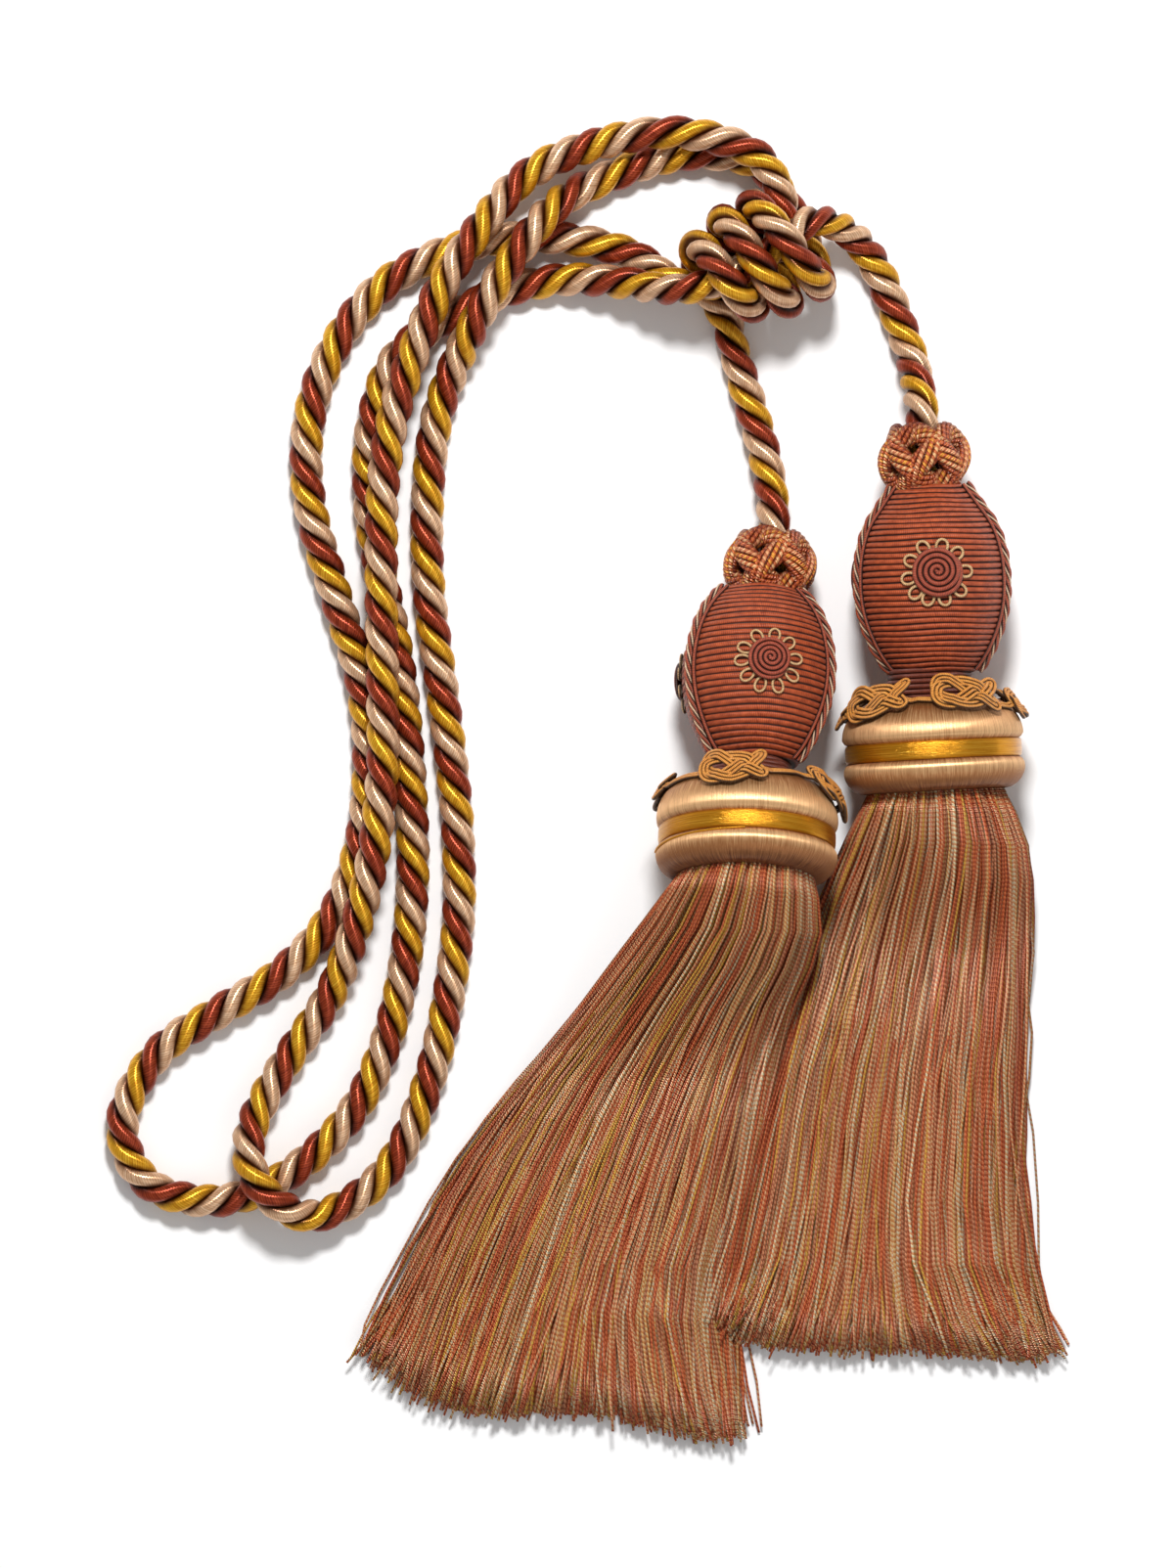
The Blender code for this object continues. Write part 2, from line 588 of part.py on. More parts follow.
def bun_profile(name):
    """Radius and height along the axis, from the lower lobe up to the neck."""
    rows = [*BUN_LOWER_LOBE, (BUN_GROOVE[0], -BUN_GROOVE[1]), BUN_GROOVE, BUN_UPPER_EDGE]
    return rows + [shoulder(name, angle, 0) for angle in SHOULDER_ANGLES]


def build_bun(name, axes, materials):
    """The satin-covered mould: two rounded lobes with a groove between them."""
    mesh_builder = bmesh.new()
    rings_to_solid(mesh_builder, turned(bun_profile(name), BUN_SIDES, pi / BUN_SIDES))
    flatten_underside(mesh_builder, axes)
    return finish("bun_" + name, mesh_builder, materials["satin"], axes)


def flatten_underside(mesh_builder, axes):
    """Cuts off what would reach below the table, and closes the flat spots."""
    to_local = axes.matrix_world.inverted()
    table = to_local.translation * (1 / MM)
    normal = to_local.to_3x3() @ Vector((0, 0, 1))
    everything = mesh_builder.verts[:] + mesh_builder.edges[:] + mesh_builder.faces[:]
    cut = bmesh.ops.bisect_plane(
        mesh_builder, geom=everything, dist=0.0001, plane_co=table, plane_no=normal,
        clear_inner=True,
    )
    rim = [part for part in cut["geom_cut"] if isinstance(part, bmesh.types.BMEdge)]
    if rim:
        bmesh.ops.edgeloop_fill(mesh_builder, edges=rim)


def build_band(name, axes, materials):
    """Gold floss wound in the bun's groove."""
    half = BAND_WIDTH / 2
    inner = BUN_GROOVE[0] + GAP
    profile = [(inner, -half), (BAND_RADIUS, BAND_ROUNDING - half),
               (BAND_RADIUS, half - BAND_ROUNDING), (inner, half)]
    mesh_builder = bmesh.new()
    rings_to_solid(mesh_builder, transpose_ring(turned(profile, BUN_SIDES, pi / BUN_SIDES)), True)
    return finish("band_" + name, mesh_builder, materials["gold_band"], axes)


def transpose_ring(rings):
    """Turns rings round the axis into sections that follow each other round it."""
    return [[ring[index] for ring in rings] for index in range(len(rings[0]))]


def galloon_angle(name, azimuth):
    """How far up the shoulder the galloon lies at an azimuth."""
    rows = TASSELS[name]["galloon"]
    for (start, low), (end, high) in zip(rows, rows[1:]):
        if start <= azimuth <= end:
            return low + (high - low) * (azimuth - start) / (end - start)
    return rows[-1][1]


def build_galloon(name, axes, materials):
    """A doubled gimp cord laid round the bun's shoulder, wider where it is knotted."""
    sections = []
    for step in range(GALLOON_STEPS):
        azimuth = 360 * step / GALLOON_STEPS - 180
        near = min(abs((azimuth - knot + 180) % 360 - 180) for knot in TASSELS[name]["knots"])
        knotted = max(0.0, 1.0 - near / GALLOON_KNOT_SPREAD) ** 0.5
        half = GALLOON_HALF_WIDTH
        half += (GALLOON_KNOT_HALF_WIDTH - GALLOON_HALF_WIDTH) * knotted
        spread = half / TASSELS[name]["shoulder"][2] * 180 / pi
        thick = GALLOON_THICKNESS * (1.0 + GALLOON_KNOT_GAIN * knotted)
        top = GALLOON_TOP_SHARE
        middle = galloon_angle(name, azimuth)
        section = []
        for across, lift in ((-1, 0), (-top, thick), (top, thick), (1, 0), (0, 0)):
            place = shoulder(name, middle + across * spread, GAP + 2 * SLACK + lift)
            section.append(around(azimuth, *place))
        sections.append(section)
    mesh_builder = bmesh.new()
    rings_to_solid(mesh_builder, sections, closed=True)
    return finish("galloon_" + name, mesh_builder, materials["galloon"], axes)


def build_ruff(name, axes, materials):
    """A Turk's head: one closed thick cord woven in three leads and five bights."""
    half_cord = RUFF_CORD_RADIUS * RUFF_CORD_FLATNESS
    middle = TASSELS[name]["ends"][1] + GAP + RUFF_EASE + RUFF_HEIGHT + half_cord
    crossings = RUFF_BIGHTS * (RUFF_LEADS - 1)

    def on_knot(turn):
        azimuth = 360 * RUFF_LEADS * turn
        height = middle + RUFF_HEIGHT * sin(tau * RUFF_BIGHTS * turn)
        radius = RUFF_RADIUS + RUFF_WEAVE * cos(tau * crossings * turn)
        return around(azimuth, radius, height)

    rings = []
    for step in range(RUFF_STEPS):
        turn = step / RUFF_STEPS
        centre = on_knot(turn)
        nearby = 0.1 / RUFF_STEPS
        tangent = (on_knot(turn + nearby) - on_knot(turn - nearby)).normalized()
        outward = Vector((centre.x, centre.y, 0)).normalized()
        across = tangent.cross(outward).normalized()
        outward = across.cross(tangent)
        ring = []
        for corner in range(4):
            angle = tau * corner / 4
            ring.append(centre + across * cos(angle) * half_cord
                        + outward * sin(angle) * RUFF_CORD_RADIUS)
        rings.append(ring)
    mesh_builder = bmesh.new()
    rings_to_solid(mesh_builder, rings, closed=True)
    bmesh.ops.triangulate(mesh_builder, faces=mesh_builder.faces[:])
    return finish("ruff_" + name, mesh_builder, materials["ruff"], axes)


def root_place(row, share):
    """A strand's root on the heading: outer rows follow its rim, inner rows cross it."""
    if row in (0, 3):
        angle = share * radians(SKIRT_ROOT_ARC)
        height = SKIRT_ROOT_RADIUS * cos(angle)
        return SKIRT_ROOT_RADIUS * sin(angle), height if row == 3 else -height
    level = SKIRT_ROOT_LEVEL if row == 2 else -SKIRT_ROOT_LEVEL
    return share * sqrt((SKIRT_ROOT_RADIUS - GAP) ** 2 - level ** 2), level


def skirt_tip(name, share):
    """The ragged hem: a point on the skirt's lower edge."""
    corners = SKIRT_TIPS[name]
    place = (share + 1) / 2 * (len(corners) - 1)
    index = min(int(place), len(corners) - 2)
    return Vector(corners[index]).lerp(Vector(corners[index + 1]), place - index)


def strand_rings(name, axes, row, share, pitch_share):
    """Sections of one lock of yarn from its root in the heading to near its tip."""
    across, level = root_place(row, share)
    head = axes.matrix_world.to_3x3() @ Vector((0, 0, 1))
    root_pitch = 2 * SKIRT_ROOT_RADIUS * pitch_share
    rings = []
    local = Vector((across, -level, HEADING_BOTTOM + SKIRT_ROOT_DEPTH))
    centre = axes.matrix_world @ (local * MM) / MM
    rings.append(strand_section(centre, head, root_pitch * STRAND_FILL, SKIRT_ROOT_THICKNESS))
    for station in SKIRTS[name]:
        width = SKIRT_ROWS[row]["width"]
        left = Vector(station["left"])
        right = Vector(station["right"])
        flat = left.lerp(right, (share * width + 1) / 2)
        span = (right - left).length * width
        pitch = span * pitch_share
        layer = station["heap"] / len(SKIRT_ROWS)
        flat_height = layer * row
        round_height = max((TASSELS[name]["centre"][2] + level) * SKIRT_SAG, flat_height)
        height = flat_height + (round_height - flat_height) * station["round"]
        centre = Vector((flat.x - ORIGIN[0], flat.y - ORIGIN[1], height))
        heading = Vector(((left - right).y, (right - left).x, 0)).normalized()
        rings.append(strand_section(centre, heading, pitch * STRAND_FILL, layer * STRAND_FILL, True))
    return rings


def strand_section(centre, heading, width, thick, grounded=False):
    """A three-sided section, flat side down; a grounded one stands on its centre."""
    side = Vector((heading.y, -heading.x, 0)).normalized()
    base = centre if grounded else centre - Vector((0, 0, thick / 2))
    top = base + Vector((0, 0, thick))
    return [base - side * width / 2, base + side * width / 2, top]


def build_skirt(name, axes, materials):
    """Locks of yarn that stand apart, fused at their roots into the heading."""
    strands = bmesh.new()
    for row, layout in enumerate(SKIRT_ROWS):
        count = layout["strands"]
        for index in range(count):
            share = (2 * index + 1) / count - 1
            rings = strand_rings(name, axes, row, share, 1 / count)
            ragged = SKIRT_RAGGED * sin(2.4 * index + 1.9 * row)
            tip = skirt_tip(name, share * layout["width"])
            last = rings[-1]
            middle = (last[0] + last[1] + last[2]) / 3
            tip_height = middle.z * SKIRT_TIP_DROP
            end = Vector((tip.x - ORIGIN[0], tip.y - ORIGIN[1], tip_height))
            end += (end - middle).normalized() * ragged
            end.z = tip_height
            add_strand(strands, rings, end, row == 0)
    heading = bmesh.new()
    profile = [(HEADING_RADIUS, HEADING_BOTTOM), (HEADING_RADIUS, HEADING_TOP)]
    rings_to_solid(heading, turned(profile, BUN_SIDES, pi / BUN_SIDES))
    for vertex in heading.verts:
        vertex.co = axes.matrix_world @ (vertex.co * MM) / MM
    locks = finish("locks_" + name, strands, materials["skirt"], smooth=False)
    skirt = finish("skirt_" + name, heading, materials["skirt"], smooth=False)
    union = skirt.modifiers.new("roots", "BOOLEAN")
    union.operation = "UNION"
    union.solver = "EXACT"
    union.object = locks
    locks.hide_render = True
    locks.display_type = "WIRE"
    return skirt


def add_strand(target, rings, end, grounded):
    """One pointed lock; a grounded lock keeps its tip on the table."""
    skinned = [[target.verts.new(point) for point in ring] for ring in rings]
    for lower, upper in zip(skinned, skinned[1:]):
        for index in range(3):
            following = (index + 1) % 3
            target.faces.new((lower[index], lower[following], upper[following], upper[index]))
    target.faces.new(list(reversed(skinned[0])))
    last = skinned[-1]
    tip = target.verts.new((end.x, end.y, 0.0 if grounded else end.z))
    for index in range(3):
        target.faces.new((last[index], last[(index + 1) % 3], tip))


def build_loose_thread(axes, materials):
    """A thin gold thread that has slipped below the left bun's band."""
    thread = LOOSE_THREAD
    rings = []
    for step in range(thread["steps"] + 1):
        share = step / thread["steps"]
        azimuth = thread["start"] + thread["sweep"] * share
        height = thread["height"] - thread["droop"] * sin(pi * share)
        centre = around(azimuth, BUN_RADIUS + thread["stand_off"], height)
        outward = around(azimuth, 1, 0)
        ring = []
        for corner in range(3):
            angle = tau * corner / 3
            offset = outward * cos(angle) + Vector((0, 0, 1)) * sin(angle)
            ring.append(centre + offset * thread["radius"])
        rings.append(ring)
    mesh_builder = bmesh.new()
    rings_to_solid(mesh_builder, rings)
    return finish("loose_thread_left", mesh_builder, materials["gold_band"], axes)


def build_tassel(name, materials):
    """One key tassel, whose bun, ball and ruff each lean a little their own way."""
    tassel = TASSELS[name]
    bun_axes = group_axes(name, "bun")
    ball_axes = group_axes(name, "ball")
    ruff_axes = group_axes(name, "ruff")
    build_ball(name, ball_axes, materials)
    seam_cords = (
        ("seam_gimp_a", -SEAM_PITCH, SEAM_GIMP_RADIUS, materials["gimp"]),
        ("seam_cord", 0.0, SEAM_CORD_RADIUS, materials["seam_cord"]),
        ("seam_gimp_b", SEAM_PITCH, SEAM_GIMP_RADIUS, materials["gimp"]),
    )
    for number, place in enumerate(tassel["seams"], start=1):
        for label, shift, radius, material in seam_cords:
            title = f"{label}_{number}"
            build_seam_cord(title, name, ball_axes, place, shift, radius, material)
    for number, place in enumerate(tassel["buttons"], start=1):
        build_button(f"button_{number}_{name}", name, ball_axes, place, materials)
        build_petals(f"petals_{number}_{name}", name, ball_axes, place, materials)
    build_neck(name, bun_axes, materials)
    build_bun(name, bun_axes, materials)
    build_band(name, bun_axes, materials)
    build_galloon(name, bun_axes, materials)
    build_ruff(name, ruff_axes, materials)
    build_skirt(name, bun_axes, materials)
    return bun_axes


def main():
    clear_scene()
    materials = make_materials()
    build_rope(materials)
    left_axes = build_tassel("left", materials)
    build_tassel("right", materials)
    build_loose_thread(left_axes, materials)


main()
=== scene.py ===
"""Looks of the curtain tieback: rope, key tassels and skirts, laid on a pale table.

Plan positions are in millimetres on the table, with the photo's middle at (0, 0), and ORIGIN is
where the part's own origin lies, as in the part's source. The photo shows 0.32 mm a pixel.
"""

from math import cos, pi, radians, sin, tau

import bpy
import numpy as np
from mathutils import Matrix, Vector


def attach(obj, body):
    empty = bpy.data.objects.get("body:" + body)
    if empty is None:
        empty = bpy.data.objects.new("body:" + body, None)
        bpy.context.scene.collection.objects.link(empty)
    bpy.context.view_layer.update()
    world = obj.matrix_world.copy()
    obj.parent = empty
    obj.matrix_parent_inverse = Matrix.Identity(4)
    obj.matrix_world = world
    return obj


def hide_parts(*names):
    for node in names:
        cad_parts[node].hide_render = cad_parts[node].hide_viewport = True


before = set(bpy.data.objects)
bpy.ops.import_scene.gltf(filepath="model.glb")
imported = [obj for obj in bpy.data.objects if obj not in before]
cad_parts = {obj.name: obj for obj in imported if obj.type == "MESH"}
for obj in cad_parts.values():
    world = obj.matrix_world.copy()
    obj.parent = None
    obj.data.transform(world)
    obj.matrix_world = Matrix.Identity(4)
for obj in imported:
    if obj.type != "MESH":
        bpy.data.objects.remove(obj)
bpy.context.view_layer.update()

MM = 0.001
ORIGIN = np.array((39.41, -48.23, 0.0))
rng = np.random.default_rng(7)


# ---- camera

PHOTO_HEIGHT = 513.0
LENS = 300.0
SENSOR = 36.0
FARTHEST_VIEW = 20.0
# The photo's scale holds at the height of the middle of the tassels and the rope.
SCALED_HEIGHT = 12.0
CAMERA_HEIGHT = PHOTO_HEIGHT * LENS / SENSOR + SCALED_HEIGHT


def make_camera():
    data = bpy.data.cameras.new("camera")
    data.lens = LENS
    data.sensor_width = SENSOR
    data.clip_end = FARTHEST_VIEW
    camera = bpy.data.objects.new("camera", data)
    camera.location = Vector((-ORIGIN[0], -ORIGIN[1], CAMERA_HEIGHT)) * MM
    bpy.context.scene.collection.objects.link(camera)
    bpy.context.scene.camera = camera


make_camera()


# ---- colours and materials


def linear(colour):
    """A colour as it looks on screen, 0 to 255, as linear values."""
    values = []
    for share in np.array(colour) / 255:
        values.append(share / 12.92 if share < 0.04045 else ((share + 0.055) / 1.055) ** 2.4)
    return (*values, 1.0)


class Nodes:
    """A few words for building a material's nodes; colours are as they look, 0 to 255."""

    def __init__(self, name, roughness, sheen=0.0, specular=0.5, metallic=0.0):
        self.material = bpy.data.materials.new(name)
        self.material.use_nodes = True
        self.tree = self.material.node_tree
        self.shader = self.tree.nodes["Principled BSDF"]
        self.shader.inputs["Roughness"].default_value = roughness
        self.shader.inputs["Sheen Weight"].default_value = sheen
        self.shader.inputs["Specular IOR Level"].default_value = specular
        self.shader.inputs["Metallic"].default_value = metallic

    def add(self, kind, **values):
        node = self.tree.nodes.new(kind)
        for name, value in values.items():
            setattr(node, name, value)
        return node

    def link(self, output, target):
        self.tree.links.new(output, target)

    def put(self, value, target):
        """Feeds an input from a node's output, a number or a colour."""
        if isinstance(value, bpy.types.NodeSocket):
            self.link(value, target)
        elif isinstance(value, tuple):
            target.default_value = linear(value)
        else:
            target.default_value = value

    def math(self, operation, first, second=0.0, third=0.0):
        node = self.add("ShaderNodeMath", operation=operation)
        for value, target in zip((first, second, third), node.inputs):
            self.put(value, target)
        return node.outputs[0]

    def uv(self):
        """Thread coordinates: x once round the thread, y along it in millimetres."""
        node = self.add("ShaderNodeUVMap", uv_map="thread")
        parts = self.add("ShaderNodeSeparateXYZ")
        self.link(node.outputs["UV"], parts.inputs[0])
        return parts.outputs[0], parts.outputs[1]

    # A per-point value of the mesh: a random tone on the skirts' yarns, and painted shade and
    # highlight on the buns, ruffs and skirts.
    def tone_and_shade(self):
        return self.add("ShaderNodeAttribute", attribute_name="tone_and_shade").outputs["Fac"]

    def wave(self, around, along, turns, per_mm):
        """Fine threads: 0 to 1, some turns round and so many a millimetre along."""
        phase = self.math("MULTIPLY_ADD", along, per_mm, self.math("MULTIPLY", around, turns))
        swing = self.math("SINE", self.math("MULTIPLY", phase, tau))
        return self.math("MULTIPLY_ADD", swing, 0.5, 0.5)

    def brushed(self, amount, rotation):
        """Fibres that run along v, or along u when turned a quarter, spread the highlight."""
        self.shader.inputs["Anisotropic"].default_value = amount
        self.shader.inputs["Anisotropic Rotation"].default_value = rotation
        tangent = self.add("ShaderNodeTangent", direction_type="UV_MAP", uv_map="thread")
        self.link(tangent.outputs[0], self.shader.inputs["Tangent"])

    def noise(self, detail, first, second, roughness=0.5):
        """Noise over the thread; its two axes are given as shares of x and of y."""
        around, along = self.uv()
        place = self.add("ShaderNodeCombineXYZ")
        for (share_around, share_along), target in zip((first, second), place.inputs):
            turned_part = self.math("MULTIPLY", around, share_around)
            self.link(self.math("MULTIPLY_ADD", along, share_along, turned_part), target)
        node = self.add("ShaderNodeTexNoise")
        node.inputs["Scale"].default_value = 1.0
        node.inputs["Detail"].default_value = detail
        node.inputs["Roughness"].default_value = roughness
        self.link(place.outputs[0], node.inputs["Vector"])
        return node.outputs["Fac"]

    def inward(self, around):
        """How far round a thread from its outer side, 0 to a half."""
        return self.math("ABSOLUTE", self.math("SUBTRACT", around, 0.5))

    def blend(self, share, first, second):
        """A share of the first value and the rest of the second."""
        rest = self.math("MULTIPLY", second, 1 - share)
        return self.math("MULTIPLY_ADD", first, share, rest)

    def ramp(self, factor, *stops):
        node = self.add("ShaderNodeValToRGB")
        elements = node.color_ramp.elements
        while len(elements) < len(stops):
            elements.new(0.5)
        for element, (place, value) in zip(elements, stops):
            element.position = place
            element.color = linear(value)
        self.link(factor, node.inputs[0])
        return node.outputs[0]

    def mix(self, factor, first, second, blend="MIX"):
        node = self.add("ShaderNodeMix", data_type="RGBA", blend_type=blend)
        self.put(factor, node.inputs["Factor"])
        self.put(first, node.inputs["A"])
        self.put(second, node.inputs["B"])
        return node.outputs["Result"]

    def bump(self, height, strength, distance):
        node = self.add("ShaderNodeBump")
        node.inputs["Strength"].default_value = strength
        node.inputs["Distance"].default_value = distance * MM
        self.link(height, node.inputs["Height"])
        return node.outputs[0]

    def finish(self, base, normal=None):
        self.put(base, self.shader.inputs["Base Color"])
        if normal is not None:
            self.link(normal, self.shader.inputs["Normal"])
        return self.material


BLACK = (0, 0, 0)
WHITE = (255, 255, 255)
# Turns of the shader's tangent that suit fibres running along v and along u.
ALONG_V = 0.0
ALONG_U = 0.25


def silk_strand(name, shadow, low, middle, high):
    """A glossy strand; its floss winds steeply round it, and painted shade darkens it in the
    grooves.
    """
    nodes = Nodes(name, roughness=0.32, specular=0.4, metallic=0.55)
    nodes.brushed(0.9, ALONG_U)
    around, along = nodes.uv()
    threads = nodes.wave(around, along, turns=-10, per_mm=1.6)
    fibres = nodes.noise(3.0, (-9.6, 1.6), (1.2, 0.0))
    floss = nodes.blend(0.25, threads, fibres)
    base = nodes.ramp(floss, (0.2, low), (0.5, middle), (0.8, high))
    # Painted shade: the strand's inner side, where it meets the other strands, is mixed towards the
    # shadow colour.
    groove = nodes.ramp(nodes.inward(around), (0.11, BLACK), (0.24, WHITE))
    base = nodes.mix(groove, base, shadow)
    return nodes.finish(base, nodes.bump(floss, strength=0.5, distance=0.22))


def gimp(name, low, middle, high, edge=0.15, slant=1.0):
    """A cord wrapped with thread, its turns slanting across it and painted shade along its sides.
    """
    nodes = Nodes(name, roughness=0.42, sheen=0.05, specular=0.5)
    around, along = nodes.uv()
    turns = nodes.wave(around, along, slant, per_mm=1.9)
    uneven = nodes.noise(2.0, (2.0, 0.0), (0.0, 0.5))
    base = nodes.ramp(nodes.blend(0.5, turns, uneven), (0.2, low), (0.5, middle), (0.85, high))
    # Painted shade: past the edge share of the way round from the outer side, the cord's sides are
    # multiplied darker.
    side = nodes.ramp(nodes.inward(around), (edge, WHITE), (edge + 0.11, (84, 84, 84)))
    base = nodes.mix(1.0, base, side, "MULTIPLY")
    return nodes.finish(base, nodes.bump(turns, strength=0.8, distance=0.16))


def wound_rows(name, gap_shade, low, high):
    """Rows of gimp side by side: painted shade where they meet, with a slanting thread over each.
    """
    nodes = Nodes(name, roughness=0.42, sheen=0.05, specular=0.35)
    row, along = nodes.uv()
    turns = nodes.wave(row, along, turns=0.55, per_mm=1.5)
    uneven = nodes.noise(3.0, (1.3, 0.0), (0.0, 0.35))
    thread = nodes.ramp(nodes.blend(0.35, turns, uneven), (0.25, low), (0.75, high))
    # Painted shade: away from each row's crown the colour goes over to the dark gap colour.
    crown = nodes.math("ABSOLUTE", nodes.math("SINE", nodes.math("MULTIPLY", row, pi)))
    base = nodes.mix(nodes.ramp(crown, (0.18, BLACK), (0.62, WHITE)), gap_shade, thread)
    return nodes.finish(base, nodes.bump(turns, strength=0.6, distance=0.14))


def plied_yarn(name, first, second, per_mm=0.6):
    """A yarn of two plies of different colours, with painted shade along its sides and deep in a
    heap.
    """
    nodes = Nodes(name, roughness=0.32, specular=0.6, metallic=0.15)
    around, along = nodes.uv()
    plies = nodes.wave(around, along, 1.0, per_mm)
    beads = nodes.wave(around, along, 2.0, 2 * per_mm)
    side = nodes.ramp(plies, (0.35, first), (0.65, second))
    # Painted shade on the sides, on yarns deep in a heap and in the beads' hollows; the beads'
    # crests are painted lighter.
    lit = nodes.ramp(nodes.inward(around), (0.17, WHITE), (0.27, (140, 140, 140)))
    shade = nodes.math("MULTIPLY", nodes.tone_and_shade(), nodes.math("MULTIPLY_ADD", beads, 0.3, 0.8))
    dark = nodes.mix(1.0, side, (104, 48, 20), "MULTIPLY")
    base = nodes.mix(nodes.math("MULTIPLY", shade, lit), dark, side)
    return nodes.finish(base, nodes.bump(beads, strength=1.0, distance=0.3))


def laid_floss(name, low, middle, high, grain, rotation, roughness=0.4, metallic=0.6):
    """Straight satin floss; the grain is its noise's scale along u and along v."""
    nodes = Nodes(name, roughness, specular=0.7, metallic=metallic)
    nodes.brushed(0.9, rotation)
    fibres = nodes.noise(4.0, (grain[0], 0.0), (0.0, grain[1]), roughness=0.7)
    # Painted highlight and shade: the per-point value lightens the satin on the lobes' ridges and
    # darkens it below them and on the top.
    shade = nodes.math("MULTIPLY_ADD", fibres, 0.8, nodes.math("MULTIPLY", nodes.tone_and_shade(), 0.5))
    base = nodes.ramp(shade, (0.4, low), (0.66, middle), (0.92, high))
    return nodes.finish(base, nodes.bump(fibres, strength=0.7, distance=0.2))


# ---- meshes

# No point of a piece comes closer to the table than this.
TABLE_GAP = 0.02
UP = (0.0, 0.0, 1.0)


def unit(vectors):
    return vectors / np.linalg.norm(vectors, axis=-1, keepdims=True)


class Cloth:
    """Collects tubes of thread and turned skins, in plan millimetres, for one mesh."""

    def __init__(self):
        self.points = []
        self.faces = []
        self.uvs = []
        self.slots = []
        self.tones_and_shades = []
        self.total = 0

    def skin(self, rings, uvs, slot=0, tone_and_shade=0.5, closed=False):
        """Quads over rings of points; the last ring joins the first, or both ends are capped."""
        count, width = rings.shape[:2]
        index = np.arange(count * width).reshape(count, width) + self.total
        lower = index if closed else index[:-1]
        upper = np.roll(index, -1, 0) if closed else index[1:]
        quads = np.stack((lower, np.roll(lower, -1, 1), np.roll(upper, -1, 1), upper), -1)
        quads = quads.reshape(-1, 4)
        below, above = uvs[:-1], uvs[1:]
        corners = np.stack((below[:, :-1], below[:, 1:], above[:, 1:], above[:, :-1]), 2)
        self.faces += quads.tolist()
        self.uvs.append(corners.reshape(-1, 2))
        made = len(quads)
        if not closed:
            self.faces += [index[0][::-1].tolist(), index[-1].tolist()]
            self.uvs.append(np.repeat(uvs[:1, 0], width, 0))
            self.uvs.append(np.repeat(uvs[-1:, 0], width, 0))
            made += 2
        self.slots.append(np.full(made, slot, np.int32))
        self.points.append(rings.reshape(-1, 3))
        self.tones_and_shades.append(np.broadcast_to(tone_and_shade, (count, width)).ravel())
        self.total += count * width

    def tube(self, line, outward, radius, sides, slot=0, tone_and_shade=0.5, closed=False, tall=1.0):
        """A tube of thread along a line; tall is its height over its width."""
        line = np.asarray(line, float)
        ahead = np.roll(line, -1, 0) - np.roll(line, 1, 0)
        if not closed:
            ahead[0] = line[1] - line[0]
            ahead[-1] = line[-1] - line[-2]
        tangent = unit(ahead)
        outward = np.broadcast_to(np.asarray(outward, float), line.shape)
        outward = unit(outward - tangent * np.sum(outward * tangent, 1, keepdims=True))
        across = np.cross(tangent, outward)
        radius = np.broadcast_to(np.asarray(radius, float), (len(line),))[:, None, None]
        angles = tau * np.arange(sides) / sides + pi
        rings = line[:, None] + radius * (
            outward[:, None] * (np.cos(angles) * tall)[None, :, None]
            + across[:, None] * np.sin(angles)[None, :, None]
        )
        steps = np.linalg.norm(np.diff(line, axis=0, append=line[:1]), axis=1)
        along = np.concatenate(([0.0], np.cumsum(steps)))[: len(line) + (1 if closed else 0)]
        turn = np.arange(sides + 1) / sides
        uvs = np.stack(np.meshgrid(turn, along), -1)
        self.skin(rings, uvs, slot, tone_and_shade, closed)

    def make(self, name, materials, slot, *replaced):
        mesh = bpy.data.meshes.new(name)
        points = np.concatenate(self.points)
        points[:, 2] = np.maximum(points[:, 2], TABLE_GAP)
        points = (points - ORIGIN) * MM
        mesh.from_pydata(points, [], self.faces)
        for material in materials:
            mesh.materials.append(material)
        mesh.polygons.foreach_set("material_index", np.concatenate(self.slots))
        mesh.shade_smooth()
        layer = mesh.uv_layers.new(name="thread")
        layer.data.foreach_set("uv", np.concatenate(self.uvs).astype(np.float32).ravel())
        # The per-point value holds a random tone and painted shade and highlight.
        tone_and_shade = mesh.attributes.new("tone_and_shade", "FLOAT", "POINT")
        tone_and_shade.data.foreach_set("value", np.concatenate(self.tones_and_shades).astype(np.float32))
        mesh.update()
        piece = bpy.data.objects.new(name, mesh)
        bpy.context.scene.collection.objects.link(piece)
        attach(piece, "root")
        if replaced:
            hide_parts(*replaced)
        return piece


# ---- rope

STRAND_OFFSET = 3.05
STRAND_RADIUS = 2.62
STRAND_SIDES = 12
ROPE_LEAD = 25.5
ROPE_STEP = 1.8
ROPE_REST = 5.7
KNOT_CENTRE = (54.8, 170.4, 23.1)
KNOT_BEARING = 28.0
WRAP_RADIUS = 17.4
WRAP_PITCH = 12.2
KNOT_SQUEEZE = 0.07
KNOT_NEAR = 30.0
KNOT_FAR = 42.0


def knot_point(along, across, height):
    """A point given along and across the knot's own axis, and by its height."""
    bearing = radians(KNOT_BEARING)
    x = KNOT_CENTRE[0] + along * cos(bearing) - across * sin(bearing)
    y = KNOT_CENTRE[1] + along * sin(bearing) + across * cos(bearing)
    return (x, y, height)


def by_knot(*points):
    return [knot_point(*point) for point in points]


def wrap_point(turn):
    """A point on the coil of the knot's wraps; whole turns are on top."""
    height = KNOT_CENTRE[2] + WRAP_RADIUS * cos(tau * turn)
    return knot_point(WRAP_PITCH * turn, -WRAP_RADIUS * sin(tau * turn), height)


